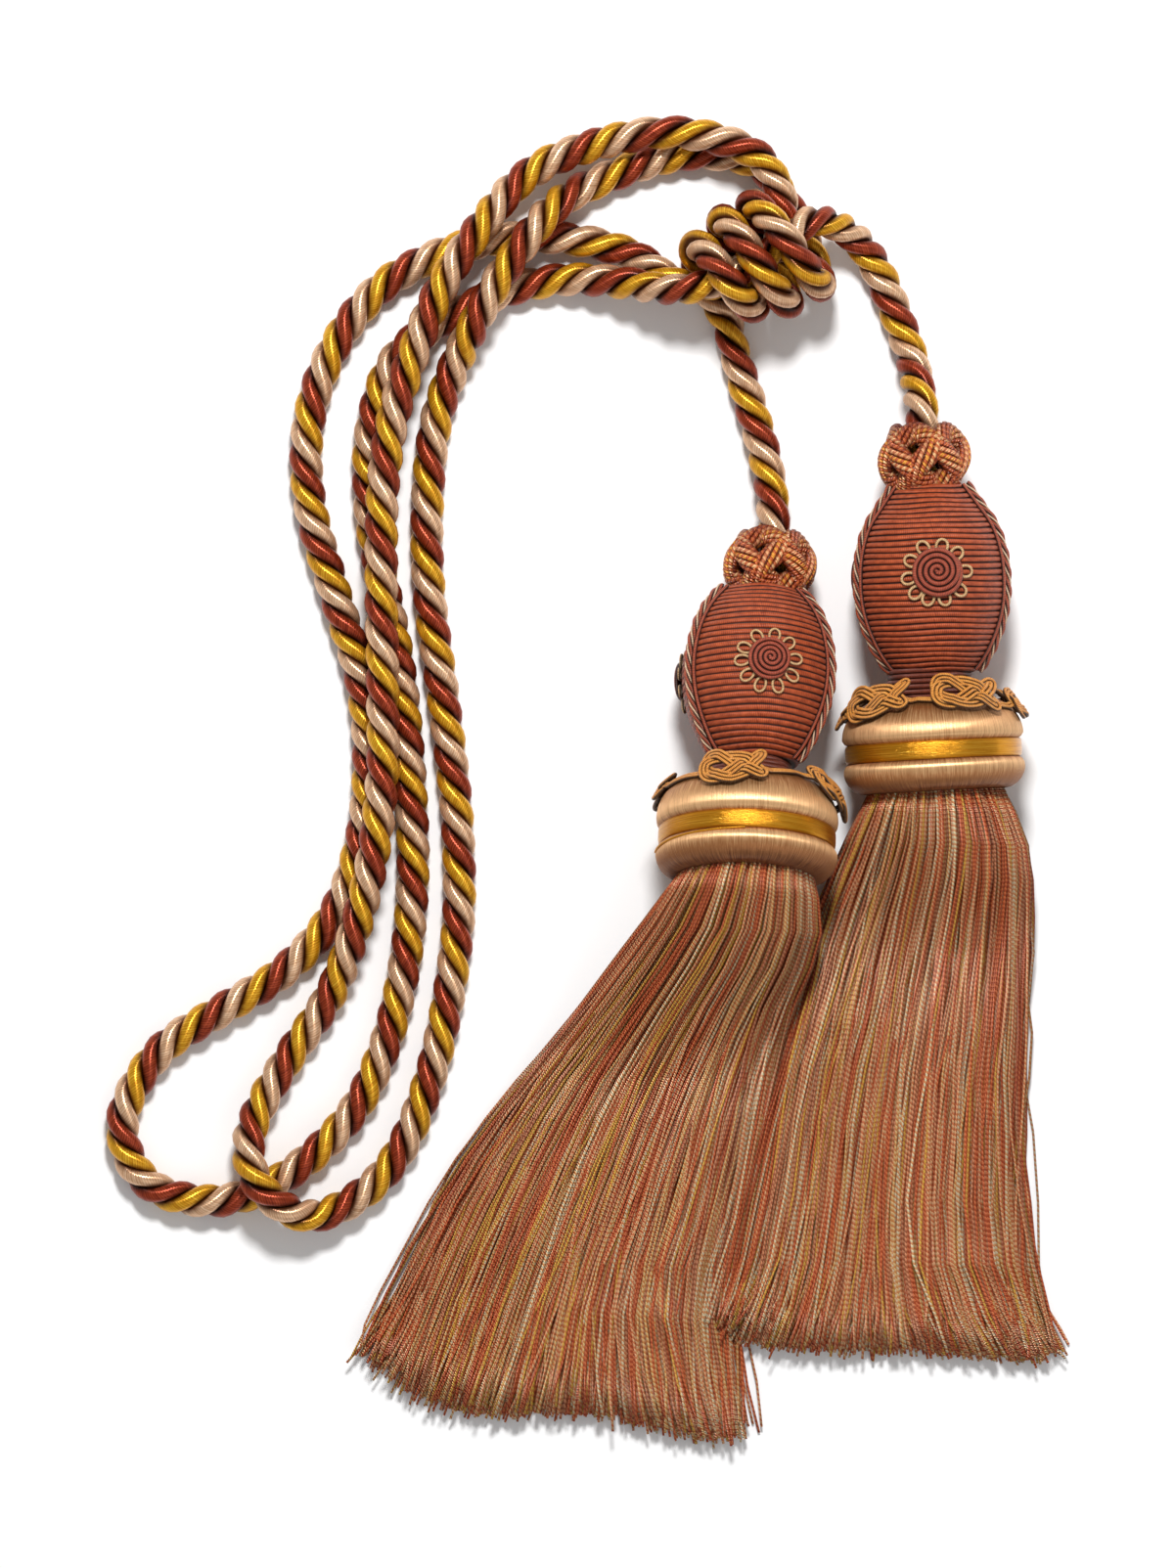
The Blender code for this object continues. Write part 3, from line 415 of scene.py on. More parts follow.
# The rope's centre line (x, y, z), from the left tassel to the right one.
LEFT_TAIL = [
    (59.1, 64.0, 20.6), (60.0, 73.8, 18.1), (60.9, 84.4, 15.3), (60.4, 95.0, 11.0),
    (57.6, 110.0, 6.8), (52.4, 128.0, 5.8), (47.4, 145.0, 5.8), (45.9, 152.5, 5.8),
]
FIRST_WRAP = by_knot(
    (-17.2, -7.5, 5.8), (-17.8, -1.0, 5.8), (-17.4, 6.0, 6.6), (-16.0, 12.0, 12.4),
    (-14.4, 13.9, 21.0), (-13.2, 12.4, 29.8), (-12.2, 6.8, 37.6), (-11.3, -0.6, 40.6),
    (-10.0, -7.9, 37.2), (-8.6, -12.0, 29.8), (-7.3, -13.2, 21.0), (-6.4, -11.8, 13.4),
    (-6.1, -6.8, 7.6), (-6.2, -1.0, 5.8), (-5.6, 6.0, 6.6),
)
SECOND_WRAP = [wrap_point(eighth / 8) for eighth in range(-3, 5)]
THIRD_WRAP_RISE = by_knot(
    (6.9, 7.5, 7.6), (7.2, 14.0, 12.8), (7.7, 17.4, 21.0), (8.7, 16.0, 30.0), (10.3, 9.5, 37.9),
)
THIRD_WRAP = [wrap_point(eighth / 8) for eighth in range(8, 12)]
RUN_DOWN_RIGHT = [
    knot_point(18.6, -2.5, 5.9), (58.2, 201.2, 5.9), (51.0, 204.8, 5.8), (30.0, 206.0, 5.8),
    (0.0, 195.8, 7.0), (-9.5, 189.8, 12.5), (-17.6, 181.0, 17.2), (-32.0, 160.0, 17.6),
    (-37.0, 150.0, 15.6), (-42.0, 140.0, 9.9), (-49.2, 120.0, 5.8), (-52.2, 94.0, 5.8),
    (-51.8, 64.0, 5.8), (-46.8, 26.0, 5.8), (-42.4, -14.0, 5.8), (-42.6, -50.0, 5.8),
    (-52.8, -100.5, 5.8), (-66.3, -127.5, 5.8), (-84.0, -140.2, 8.6), (-93.0, -141.2, 12.5),
]
RUN_UP_MIDDLE = [
    (-102.0, -136.5, 16.8), (-108.3, -129.5, 17.4), (-110.8, -120.0, 14.2),
    (-109.0, -110.0, 9.6), (-98.0, -90.0, 5.8), (-84.6, -70.0, 6.6), (-76.6, -50.0, 13.3),
    (-70.4, -26.0, 17.2), (-66.8, 4.0, 16.6), (-66.8, 36.0, 16.8), (-67.2, 68.0, 17.5),
    (-66.6, 98.0, 16.8), (-62.8, 122.0, 16.2), (-51.5, 154.0, 17.5), (-46.2, 165.0, 17.7),
    (-39.8, 175.0, 18.1), (-32.2, 185.5, 15.8), (-22.8, 196.5, 11.4), (-12.0, 203.8, 11.4),
    (10.0, 211.0, 13.6), (30.0, 213.0, 16.2), (50.0, 208.4, 17.4), (58.0, 203.2, 17.4),
]
LOWER_CORE = by_knot(
    (17.4, 12.8, 17.5), (13.8, 6.0, 17.4), (6.5, 1.2, 17.2), (-1.5, 0.4, 17.2), (-8.5, 0.0, 17.2),
    (-14.5, 0.0, 17.4), (-20.0, 1.4, 17.0),
)
RUN_DOWN_LEFT = [
    (29.4, 163.7, 14.4), (16.0, 172.8, 7.2), (-3.0, 178.2, 5.8), (-28.0, 178.6, 5.8),
    (-50.0, 172.9, 5.8), (-69.5, 161.0, 5.8), (-84.2, 140.5, 5.8), (-91.4, 117.0, 5.8),
    (-90.8, 92.0, 5.8), (-82.4, 62.0, 5.8), (-74.0, 34.0, 5.8), (-71.5, 8.0, 5.8),
    (-74.4, -20.0, 5.8), (-83.5, -43.5, 5.8), (-100.0, -61.8, 5.8), (-120.0, -74.2, 5.8),
    (-140.0, -87.6, 5.8), (-151.8, -107.5, 5.8), (-151.4, -118.5, 5.8), (-146.6, -128.0, 5.8),
    (-139.0, -133.8, 5.8), (-120.0, -136.5, 5.8),
]
RUN_UP_RIGHT = [
    (-101.5, -130.2, 5.8), (-78.6, -110.0, 5.8), (-67.4, -89.0, 5.8), (-60.2, -62.0, 5.8),
    (-57.1, -32.0, 5.8), (-58.0, 2.0, 5.8), (-61.8, 40.0, 5.8), (-71.0, 90.0, 5.8),
    (-70.2, 119.0, 5.8), (-61.5, 141.0, 5.8), (-33.0, 159.0, 5.8), (-11.0, 165.0, 6.4),
    (10.0, 164.2, 13.4), (27.5, 161.2, 25.4), (35.5, 161.8, 28.8),
]
UPPER_CORE = by_knot(
    (-9.5, -0.4, 29.0), (-2.0, 0.0, 29.0), (5.5, 0.0, 29.0), (11.0, 0.6, 29.0), (16.0, 2.6, 28.0),
)
RIGHT_TAIL = [
    (73.2, 183.9, 25.4), (84.6, 180.8, 15.0), (93.4, 171.5, 7.3), (104.4, 145.6, 6.2),
    (106.7, 137.6, 9.6), (108.2, 129.4, 18.4), (109.3, 120.6, 26.2), (109.7, 110.0, 27.3),
    (110.1, 99.0, 27.5),
]
RUNS = (
    LEFT_TAIL, FIRST_WRAP + SECOND_WRAP + THIRD_WRAP_RISE + THIRD_WRAP, RUN_DOWN_RIGHT,
    RUN_UP_MIDDLE, LOWER_CORE, RUN_DOWN_LEFT, RUN_UP_RIGHT, UPPER_CORE, RIGHT_TAIL,
)
ROUTE_SAMPLES = 12
ROUTE_SOFTENINGS = 6
ROUTE_STEP = 1.0


def distances(points):
    """How far along a polyline each of its points is."""
    return np.concatenate(([0.0], np.cumsum(np.linalg.norm(np.diff(points, axis=0), axis=1))))


def respaced(points, step):
    """The same polyline with its points nearly a step apart."""
    travelled = distances(points)
    count = int(round(travelled[-1] / step)) + 1
    places = np.linspace(0.0, travelled[-1], count)
    return np.stack([np.interp(places, travelled, points[:, axis]) for axis in range(3)], 1)


def smooth_route(points):
    """Points a millimetre apart on a smooth curve through the route's own points."""
    points = np.array(points, float)
    ends = np.vstack((points[0] * 2 - points[1], points, points[-1] * 2 - points[-2]))
    dense = []
    for index in range(1, len(ends) - 2):
        four = ends[index - 1:index + 3]
        chords = np.sqrt(np.linalg.norm(np.diff(four, axis=0), axis=1))
        knots = np.concatenate(([0.0], np.cumsum(chords)))
        spans = ((knots[:3], knots[1:]), (knots[:2], knots[2:]), (knots[1:2], knots[2:3]))
        for place in np.linspace(knots[1], knots[2], ROUTE_SAMPLES, endpoint=False):
            level = list(four)
            for lows, highs in spans:
                shares = (place - lows) / (highs - lows)
                level = [a + (b - a) * share for a, b, share in zip(level, level[1:], shares)]
            dense.append(level[0])
    dense.append(points[-1])
    even = respaced(np.array(dense), ROUTE_STEP)
    for _ in range(ROUTE_SOFTENINGS):
        even[1:-1] = (even[:-2] + 2 * even[1:-1] + even[2:]) / 4
    even[:, 2] = np.maximum(even[:, 2], ROPE_REST)
    return even


def carried_frames(points):
    """Side and up vectors carried along the curve without spinning."""
    tangent = unit(np.gradient(points, axis=0))
    side = unit(np.cross(tangent[0], UP))
    sides = []
    for direction in tangent:
        side = unit(side - direction * np.dot(side, direction))
        sides.append(side)
    sides = np.array(sides)
    return sides, np.cross(tangent, sides)


# Which strand lies on top of the rope at plan points: 0 rust, 1 gold, 2 cream; each row names
# the first and last route point of the stretch in which its points are looked for.
STRANDS_ON_TOP = (
    (FIRST_WRAP[4], FIRST_WRAP[10], ((1, 36, 179), (2, 35, 175), (0, 43, 168), (1, 48, 161))),
    (SECOND_WRAP[1], SECOND_WRAP[6],
     ((1, 43, 185), (2, 47, 179), (0, 53, 174), (1, 58, 166), (2, 62, 159))),
    (THIRD_WRAP_RISE[2], THIRD_WRAP[3],
     ((0, 52, 193), (1, 52, 187), (2, 60, 181), (0, 68, 175), (1, 73, 166), (2, 74, 161))),
    (RUN_DOWN_RIGHT[1], RUN_DOWN_RIGHT[6],
     ((1, 32, 204), (2, 25, 204), (0, 17, 203), (1, 8, 200), (2, 0, 197), (0, -7, 193))),
    (RUN_UP_MIDDLE[14], RUN_UP_MIDDLE[-1],
     ((0, -3, 208), (1, 5, 210), (2, 12, 211), (0, 22, 213), (1, 33, 213), (2, 42, 211),
      (0, 50, 208), (1, 60, 203))),
    (RUN_DOWN_LEFT[0], RUN_DOWN_LEFT[4], ((0, 15, 175), (1, 5, 178), (2, -5, 181))),
    (RUN_UP_RIGHT[8], RUN_UP_RIGHT[-1],
     ((0, -17, 163), (1, -8, 166), (2, 0, 167), (0, 8, 164), (1, 18, 163), (2, 25, 161))),
)


PHASE_SOFTENING = 4


def strand_phase(route, side, up):
    """The twist that brings the named strands to the top of the rope, smooth between them."""
    places, phases = [], []
    for first, last, tops in STRANDS_ON_TOP:
        start = int(np.argmin(np.linalg.norm(route - first, axis=1)))
        end = int(np.argmin(np.linalg.norm(route - last, axis=1)))
        for strand, x, y in tops:
            stretch = route[start:end + 1]
            index = start + int(np.argmin(np.hypot(stretch[:, 0] - x, stretch[:, 1] - y)))
            top = np.arctan2(up[index, 2], side[index, 2])
            places.append(index)
            phases.append(top - tau * strand / 3)
    order = np.argsort(places, kind="stable")
    places, phases = np.array(places)[order], np.array(phases)[order]
    natural = -tau * ROPE_STEP / ROPE_LEAD
    for number in range(1, len(places)):
        expected = phases[number - 1] + natural * (places[number] - places[number - 1])
        phases[number] += tau * np.round((expected - phases[number]) / tau)
    index = np.arange(len(route))
    twist = np.interp(index, places, phases)
    twist += natural * (np.minimum(index - places[0], 0) + np.maximum(index - places[-1], 0))
    padded = np.pad(twist, PHASE_SOFTENING, mode="reflect", reflect_type="odd")
    window = 2 * PHASE_SOFTENING + 1
    return np.convolve(padded, np.ones(window) / window, "valid")


def make_rope(materials):
    """Three laid strands, each wound with silk, as one mesh on the route."""
    route = respaced(smooth_route([point for run in RUNS for point in run]), ROPE_STEP)
    side, up = carried_frames(route)
    twist = strand_phase(route, side, up)
    distance = np.hypot(route[:, 0] - KNOT_CENTRE[0], route[:, 1] - KNOT_CENTRE[1])
    share = np.clip((KNOT_FAR - distance) / (KNOT_FAR - KNOT_NEAR), 0, 1)
    squeeze = 1.0 - KNOT_SQUEEZE * share
    cloth = Cloth()
    for strand in range(3):
        angle = (twist + tau * strand / 3)[:, None]
        outward = side * np.cos(angle) + up * np.sin(angle)
        line = route + outward * (STRAND_OFFSET * squeeze)[:, None]
        cloth.tube(line, outward, STRAND_RADIUS * squeeze, STRAND_SIDES, slot=strand)
    rope = cloth.make("rope_laid", materials, "rope", "rope")


# Each strand's first colour is its painted shade in the grooves between the strands.
RUST_SILK = silk_strand(
    "rust_silk", (40, 8, 2), (106, 30, 10), (140, 50, 22), (182, 80, 46))
GOLD_SILK = silk_strand(
    "gold_silk", (80, 36, 2), (178, 112, 8), (210, 148, 22), (244, 196, 64))
CREAM_SILK = silk_strand(
    "cream_silk", (96, 52, 28), (186, 136, 98), (216, 172, 134), (244, 210, 176))
make_rope((RUST_SILK, GOLD_SILK, CREAM_SILK))


# ---- tassels

# Band centre, tilt of the axis (head down), shift and lean of each of a tassel's groups, the
# ball's ends and rows, azimuths of its seams and buttons, the buttons' seat on it and their
# radius, the shoulder's ellipse, and the galloon's knots and path round the shoulder.
TASSELS = {
    "left": {
        "centre": (51.95, -17.85, 41.85), "tilt": 14.5,
        "bun": (0.0, 1.7), "ball": (1.85, 2.0), "ruff": (0.0, 5.0),
        "ends": (25.0, 83.0), "ribs": 30, "seams": (-62.5, 69.0, 183.0),
        "buttons": (8.0, 128.0, -112.0), "button_seat": 0.505, "button_radius": 7.4,
        "shoulder": (17.0, 5.8, 12.6, 13.2), "knots": (-101.0, -11.0, 73.0, 163.0),
        "galloon": ((-180, 42), (-101, 40), (-50, 48), (-11, 41), (40, 62), (73, 34), (90, 24),
                    (120, 28), (180, 42)),
    },
    "right": {
        "centre": (112.9, 10.7, 28.85), "tilt": 1.0,
        "bun": (0.0, -3.1), "ball": (1.0, -1.6), "ruff": (0.0, -1.8),
        "ends": (25.5, 87.0), "ribs": 34, "seams": (-78.0, 78.0, 180.0),
        "buttons": (3.0, 123.0, -117.0), "button_seat": 0.525, "button_radius": 8.7,
        "shoulder": (15.5, 4.6, 14.1, 12.6), "knots": (-115.0, -42.0, 24.0, 92.0, 165.0),
        "galloon": ((-180, 66), (-135, 58), (-90, 34), (-42, 46), (-12, 64), (24, 52), (65, 40),
                    (92, 40), (135, 60), (180, 66)),
    },
}
# The ball's radius at shares of its height, from the neck to the ruff.
BALL_PROFILES = {
    "left": ((0.0, 13.6), (0.06, 16.4), (0.19, 20.5), (0.34, 23.6), (0.49, 24.8), (0.64, 24.1),
             (0.79, 21.6), (0.91, 17.6), (1.0, 13.0)),
    "right": ((0.0, 13.4), (0.05, 15.8), (0.2, 20.8), (0.35, 23.5), (0.49, 24.1), (0.63, 23.3),
              (0.77, 20.6), (0.9, 15.4), (1.0, 11.2)),
}
PROFILE_STEPS = 400


def placed(name, group, local):
    """Points about the axis of one of a tassel's groups, in plan millimetres."""
    tassel = TASSELS[name]
    shift, lean = tassel[group]
    lean, tilt = radians(lean), radians(tassel["tilt"])
    head = np.array((sin(lean) * cos(tilt), cos(lean) * cos(tilt), -sin(tilt)))
    right = np.array((cos(lean), -sin(lean), 0.0))
    down = np.cross(head, right)
    centre = np.array(tassel["centre"]) + (shift, 0.0, 0.0)
    return centre + np.asarray(local) @ np.array((right, down, head))


def around(azimuth, radius, height):
    """Points about the axis: azimuth 0 faces up from the table, + to the right."""
    turn = np.radians(azimuth)
    return np.stack(np.broadcast_arrays(radius * np.sin(turn), -radius * np.cos(turn), height), -1)


def numbered(kind, name):
    """The names of a tassel's three solids of one kind."""
    return [f"{kind}_{number}_{name}" for number in (1, 2, 3)]


def ball_radius(name, height):
    """The ball's radius at a height, on a smooth curve through its profile."""
    low, high = TASSELS[name]["ends"]
    share = np.clip((np.asarray(height, float) - low) / (high - low), 0, 1)
    places, radii = np.array(BALL_PROFILES[name]).T
    slopes = np.gradient(radii, places)
    index = np.clip(np.searchsorted(places, share, side="right") - 1, 0, len(places) - 2)
    span = places[index + 1] - places[index]
    t = (share - places[index]) / span
    return (radii[index] * (1 + 2 * t) * (1 - t) ** 2 + slopes[index] * span * t * (1 - t) ** 2
            + radii[index + 1] * t * t * (3 - 2 * t) - slopes[index + 1] * span * t * t * (1 - t))


def evenly_along(name, shares):
    """Heights at shares of the way along the ball's curved side."""
    heights = np.linspace(*TASSELS[name]["ends"], PROFILE_STEPS)
    travelled = distances(np.stack((heights, ball_radius(name, heights)), 1))
    return np.interp(shares * travelled[-1], travelled, heights)


def on_ball(name, azimuth, height, lift):
    """A point at a lift over the ball's surface, along its normal."""
    slope = np.arctan2(ball_radius(name, height + 0.5) - ball_radius(name, height - 0.5), 1.0)
    radius = ball_radius(name, height)
    return around(azimuth, radius + lift * np.cos(slope), height - lift * np.sin(slope))


def lay(cloth, name, group, lifted, lift, radius, sides, **style):
    """A thread on one of a tassel's groups; lifted gives its points at a lift."""
    line = placed(name, group, lifted(lift))
    above = placed(name, group, lifted(lift + 1.0))
    cloth.tube(line, above - line, radius, sides, **style)


def over_ball(cloth, name, azimuth, height, lift, radius, sides, **style):
    """A thread that follows the ball."""
    lay(cloth, name, "ball", lambda rise: on_ball(name, azimuth, height, rise), lift, radius, sides,
        **style)


RIB_STEPS = 8
RIB_COLUMNS = 144
RIB_RELIEF = 0.95
# The lower this power is, the flatter the rows' crowns are.
RIB_CROWN = 0.55
# The radius that a row's thread is measured by, and how far it moves on from row to row.
RIB_THREAD = {"radius": 22.0, "shift": 3.3}


def make_ball(name, material):
    """The mould's cover: rows of gimp wound side by side, a little unevenly."""
    ribs = TASSELS[name]["ribs"]
    places = np.linspace(0, ribs, ribs * RIB_STEPS + 1)[:, None]
    azimuth = np.linspace(0, 360, RIB_COLUMNS + 1)[None]
    row, turn = np.floor(places), np.radians(azimuth)
    wander = 0.13 * np.sin(turn * 3 + row * 0.9) + 0.1 * np.sin(turn * 5 + 1)
    heights = evenly_along(name, places / ribs) + wander
    relief = RIB_RELIEF * (np.abs(np.sin(pi * places)) ** RIB_CROWN - 1)
    radius = ball_radius(name, heights) + relief
    rings = placed(name, "ball", around(azimuth, radius, heights))
    along = turn * RIB_THREAD["radius"] + row * RIB_THREAD["shift"]
    uvs = np.stack(np.broadcast_arrays(places, along), -1)
    cloth = Cloth()
    cloth.skin(rings[:, :-1], uvs)
    cloth.make("ball_cover_" + name, (material,), "gimp", "ball_" + name)


SEAM_GIMP = {"radius": 0.7, "shift": 2.6, "lift": 0.35}
SEAM_CORD = {"plies": 4, "radii": (0.74, 0.44), "offset": 0.78, "lead": 12.2, "lift": 0.95}
# How far short of the ball's lower and upper end the seams stop.
SEAM_MARGINS = (0.8, 0.6)
SEAM_STEPS = 150
SEAM_SIDES = 6


def make_seams(name, rust, cream):
    """Three seams, each two gimps beside a twisted cord of rust and cream."""
    low, high = TASSELS[name]["ends"]
    height = np.linspace(low + SEAM_MARGINS[0], high - SEAM_MARGINS[1], SEAM_STEPS)
    reach = ball_radius(name, height)
    cloth = Cloth()
    for azimuth in TASSELS[name]["seams"]:
        for side in (-1, 1):
            turn = azimuth + np.degrees(side * SEAM_GIMP["shift"] / reach)
            spot = (turn, height, SEAM_GIMP["lift"])
            over_ball(cloth, name, *spot, SEAM_GIMP["radius"], SEAM_SIDES)
        along = distances(placed(name, "ball", on_ball(name, azimuth, height, 0.0)))
        for ply in range(SEAM_CORD["plies"]):
            angle = tau * (along / SEAM_CORD["lead"] + ply / SEAM_CORD["plies"])
            turn = azimuth + np.degrees(SEAM_CORD["offset"] * np.cos(angle) / reach)
            lift = SEAM_CORD["lift"] + SEAM_CORD["offset"] * np.sin(angle)
            radius = SEAM_CORD["radii"][ply % 2]
            over_ball(cloth, name, turn, height, lift, radius, SEAM_SIDES, slot=ply % 2)
    replaced = (*numbered("seam_gimp_a", name), *numbered("seam_cord", name),
                *numbered("seam_gimp_b", name))
    cloth.make("seams_" + name, (rust, cream), "seam_cord", *replaced)


# The coil's turns and the bearing of its outer end; the loops' bearings round the button and
# the distance of their middles, half width, half length and cord radius.
BUTTONS = {
    "left": {"turns": 4.7, "end": -35.0, "half_width": 1.65, "half_length": 2.35, "cord": 0.43,
             "loops": ((81, 7.6), (43, 7.8), (4, 8.2), (-33, 8.7), (-72, 8.9), (-107.6, 8.9),
                       (-141, 8.9), (-174, 8.9), (159, 8.6), (121.4, 8.0))},
    "right": {"turns": 4.85, "end": 32.0, "half_width": 1.8, "half_length": 2.4, "cord": 0.5,
              "loops": ((119, 8.4), (78, 7.9), (41, 8.2), (-1, 8.9), (-41, 9.1), (-77, 8.7),
                        (-110, 8.9), (-137, 9.5), (-167.5, 9.3), (157, 8.7))},
}
# A coil starts at some of a turn, leaves its hub after more of it, and is domed; its last steps
# go down and under its edge.
COIL = {"steps": 190, "start": 0.12, "hub_turn": 0.35, "hub": 0.3, "edge": 0.35,
        "lift": 1.55, "dome": 0.85, "dome_radius": 8.0, "sides": 8}
COIL_END = {"steps": 10, "drop": 1.1, "tuck": 0.8}
# A loop is wider at its outer end by its swell, and rises there.
LOOP = {"steps": 22, "swell": 0.12, "lift": 0.75, "rise": 0.25, "sides": 7}


def near_button(name, azimuth, distance, angle, lift):
    """A point over the ball at a distance and angle from a button's middle."""
    low, high = TASSELS[name]["ends"]
    height = low + TASSELS[name]["button_seat"] * (high - low) + distance * np.sin(angle)
    turn = azimuth + np.degrees(distance * np.cos(angle) / ball_radius(name, height))
    return turn, height, lift


def wind_coil(cloth, name, azimuth):
    """A button's gimp, wound in a spiral."""
    style = BUTTONS[name]
    pitch = (TASSELS[name]["button_radius"] - COIL["edge"]) / style["turns"]
    wound = np.linspace(COIL["start"], style["turns"], COIL["steps"])
    distance = pitch * (wound - COIL["hub_turn"]).clip(0.0) + COIL["hub"]
    lift = COIL["lift"] + COIL["dome"] * (1 - (distance / COIL["dome_radius"]) ** 2)
    steps = COIL_END["steps"]
    lift[-steps:] -= np.linspace(0, COIL_END["drop"], steps)
    distance[-steps:] -= np.linspace(0, COIL_END["tuck"], steps)
    angle = radians(style["end"]) + tau * (wound - style["turns"])
    spot = near_button(name, azimuth, distance, angle, lift)
    over_ball(cloth, name, *spot, pitch / 2, COIL["sides"])


def bend_loops(cloth, name, azimuth):
    """The ring of loops under a button's edge."""
    style = BUTTONS[name]
    turn = np.linspace(0, tau, LOOP["steps"], endpoint=False)
    lift = LOOP["lift"] + LOOP["rise"] * np.cos(turn)
    aside = style["half_width"] * np.sin(turn) * (1 + LOOP["swell"] * np.cos(turn))
    for bearing, middle in style["loops"]:
        out = middle + style["half_length"] * np.cos(turn)
        angle = radians(bearing) + np.arctan2(aside, out)
        spot = near_button(name, azimuth, np.hypot(out, aside), angle, lift)
        over_ball(cloth, name, *spot, style["cord"], LOOP["sides"], closed=True)


def make_buttons(name, rust, cream):
    """Coiled buttons, each with a ring of loops under its edge."""
    coils, loops = Cloth(), Cloth()
    for azimuth in TASSELS[name]["buttons"]:
        wind_coil(coils, name, azimuth)
        bend_loops(loops, name, azimuth)
    coils.make("buttons_coiled_" + name, (rust,), "gimp", *numbered("button", name))
    loops.make("loops_cream_" + name, (cream,), "petal", *numbered("petals", name))


def shoulder(name, angle, lift):
    """Radius and height at an angle up the bun's rounded shoulder, lifted off its surface."""
    middle_radius, middle_height, width, rise = TASSELS[name]["shoulder"]
    turn = np.radians(angle)
    across, upward = np.cos(turn) / width, np.sin(turn) / rise
    size = np.hypot(across, upward)
    return (middle_radius + width * np.cos(turn) + lift * across / size,
            middle_height + rise * np.sin(turn) + lift * upward / size)


BUN_COLUMNS = 144
SHOULDER_STEPS = 22
# Rings of the bun and of its band: radius, height from the band's middle and painted shade, 1.0
# a painted highlight on a lobe's ridge, less a painted shadow; the band's is even. Between the
# lip and the flat top, which has only (radius, shade), runs the shoulder, shaded by its angle.
BUN_LOWER = (
    (20.0, -13.4, 0.1), (22.2, -13.2, 0.1), (24.6, -12.8, 0.15), (26.6, -11.7, 0.25),
    (28.2, -10.1, 0.4), (29.2, -8.2, 0.6), (29.6, -6.5, 0.85), (29.5, -5.0, 1.0),
    (28.9, -3.8, 0.7), (27.8, -2.9, 0.2),
)
BUN_LIP = ((27.8, 2.9, 0.4), (28.8, 3.5, 0.75), (29.4, 4.4, 1.0))
SHOULDER_SHADES = {"angles": (0, 70), "shades": (1.0, 0.2)}
BUN_TOP = ((14.0, 0.3), (12.6, 0.3))
BAND = (
    (27.9, -3.0, 0.5), (28.5, -2.8, 0.5), (28.8, -2.1, 0.5), (28.9, -1.1, 0.5), (28.9, 0.0, 0.5),
    (28.9, 1.1, 0.5), (28.8, 2.1, 0.5), (28.5, 2.8, 0.5), (27.9, 3.0, 0.5),
)
# The neck's rings, the first one's height over the shoulder and the last one's over the ball's end.
NECK = {"rings": 6, "above_shoulder": 0.4, "above_end": 0.8, "steps": 72, "radius": 13.1,
        "uneven": 0.25, "cord": 0.85, "sides": 6}


def turned(name, cloth, profile, wobble):
    """A turned skin about a bun's axis, a little uneven round it, with x in half degrees."""
    radii, heights, shades = np.array(profile).T
    azimuth = np.linspace(0, 360, BUN_COLUMNS + 1)
    turn = np.radians(azimuth)
    radius = radii[:, None] + wobble * (np.sin(turn * 7) + np.sin(turn * 17 + 1.0))
    rings = placed(name, "bun", around(azimuth, radius, heights[:, None]))
    along = distances(np.stack((radii, heights), 1))
    uvs = np.stack(np.meshgrid(azimuth / 2, along), -1)
    cloth.skin(rings[:, :-1], uvs, tone_and_shade=shades[:, None])


def make_bun(name, satin, gold):
    """The satin-covered mould and the gold floss wound in its groove."""
    arc = np.linspace(0, 90, SHOULDER_STEPS)
    radii, heights = shoulder(name, arc, 0.0)
    shades = np.interp(arc, SHOULDER_SHADES["angles"], SHOULDER_SHADES["shades"])
    rounded = zip(radii, heights, shades)
    top = [(radius, heights[-1], shade) for radius, shade in BUN_TOP]
    cloth = Cloth()
    turned(name, cloth, [*BUN_LOWER, *BUN_LIP, *rounded, *top], wobble=0.05)
    cloth.make("bun_satin_" + name, (satin,), "satin", "bun_" + name)
    cloth = Cloth()
    turned(name, cloth, BAND, wobble=0.03)
    cloth.make("band_floss_" + name, (gold,), "gold_band", "band_" + name)


def make_neck(name, floss):
    """Dark floss wound between the bun and the ball."""
    low = shoulder(name, 90, 0.0)[1] + NECK["above_shoulder"]
    high = TASSELS[name]["ends"][0] + NECK["above_end"]
    azimuth = np.linspace(0, 360, NECK["steps"], endpoint=False)
    cloth = Cloth()
    for row, height in enumerate(np.linspace(low, high, NECK["rings"])):
        radius = NECK["radius"] + NECK["uneven"] * np.sin(np.radians(azimuth) * 5 + row * 1.3)
        lay(cloth, name, "bun", lambda rise: around(azimuth, radius + rise, height), 0.0,
            NECK["cord"], NECK["sides"], closed=True)
    cloth.make("neck_floss_" + name, (floss,), "neck", "neck_" + name)


# ---- galloon

GALLOON_CORD = 0.64
KNOT_CORDS = (-2, 0, 2)
KNOT_HALF_LENGTH = 8.9
KNOT_HALF_WIDTH = 4.1
KNOT_WEAVE = 0.85
KNOT_STEPS = 150
KNOT_LIFT = 1.7
# Between two knots the cords go down to the satin.
RUN_STEPS = 26
RUN_LIFT = 0.8
RUN_LANDINGS = (0, 0.15, 0.85, 1)
GALLOON_SIDES = 7
# A flat knot bends with the shoulder, less the more it stands off it.
SHOULDER_BEND = 60.0
STRAIGHT_STAND = 40.0
# How many degrees a knot's upper edge stands off the shoulder, by its azimuth.
KNOT_STANDS = {"left": (4, 24, 8, 2), "right": (4, 30, 34, 8, 2)}


def galloon_angle(name, azimuth):
    """How far up the shoulder the galloon lies at an azimuth."""
    places, angles = np.array(TASSELS[name]["galloon"], float).T
    return np.interp((azimuth + 180) % 360 - 180, places, angles)


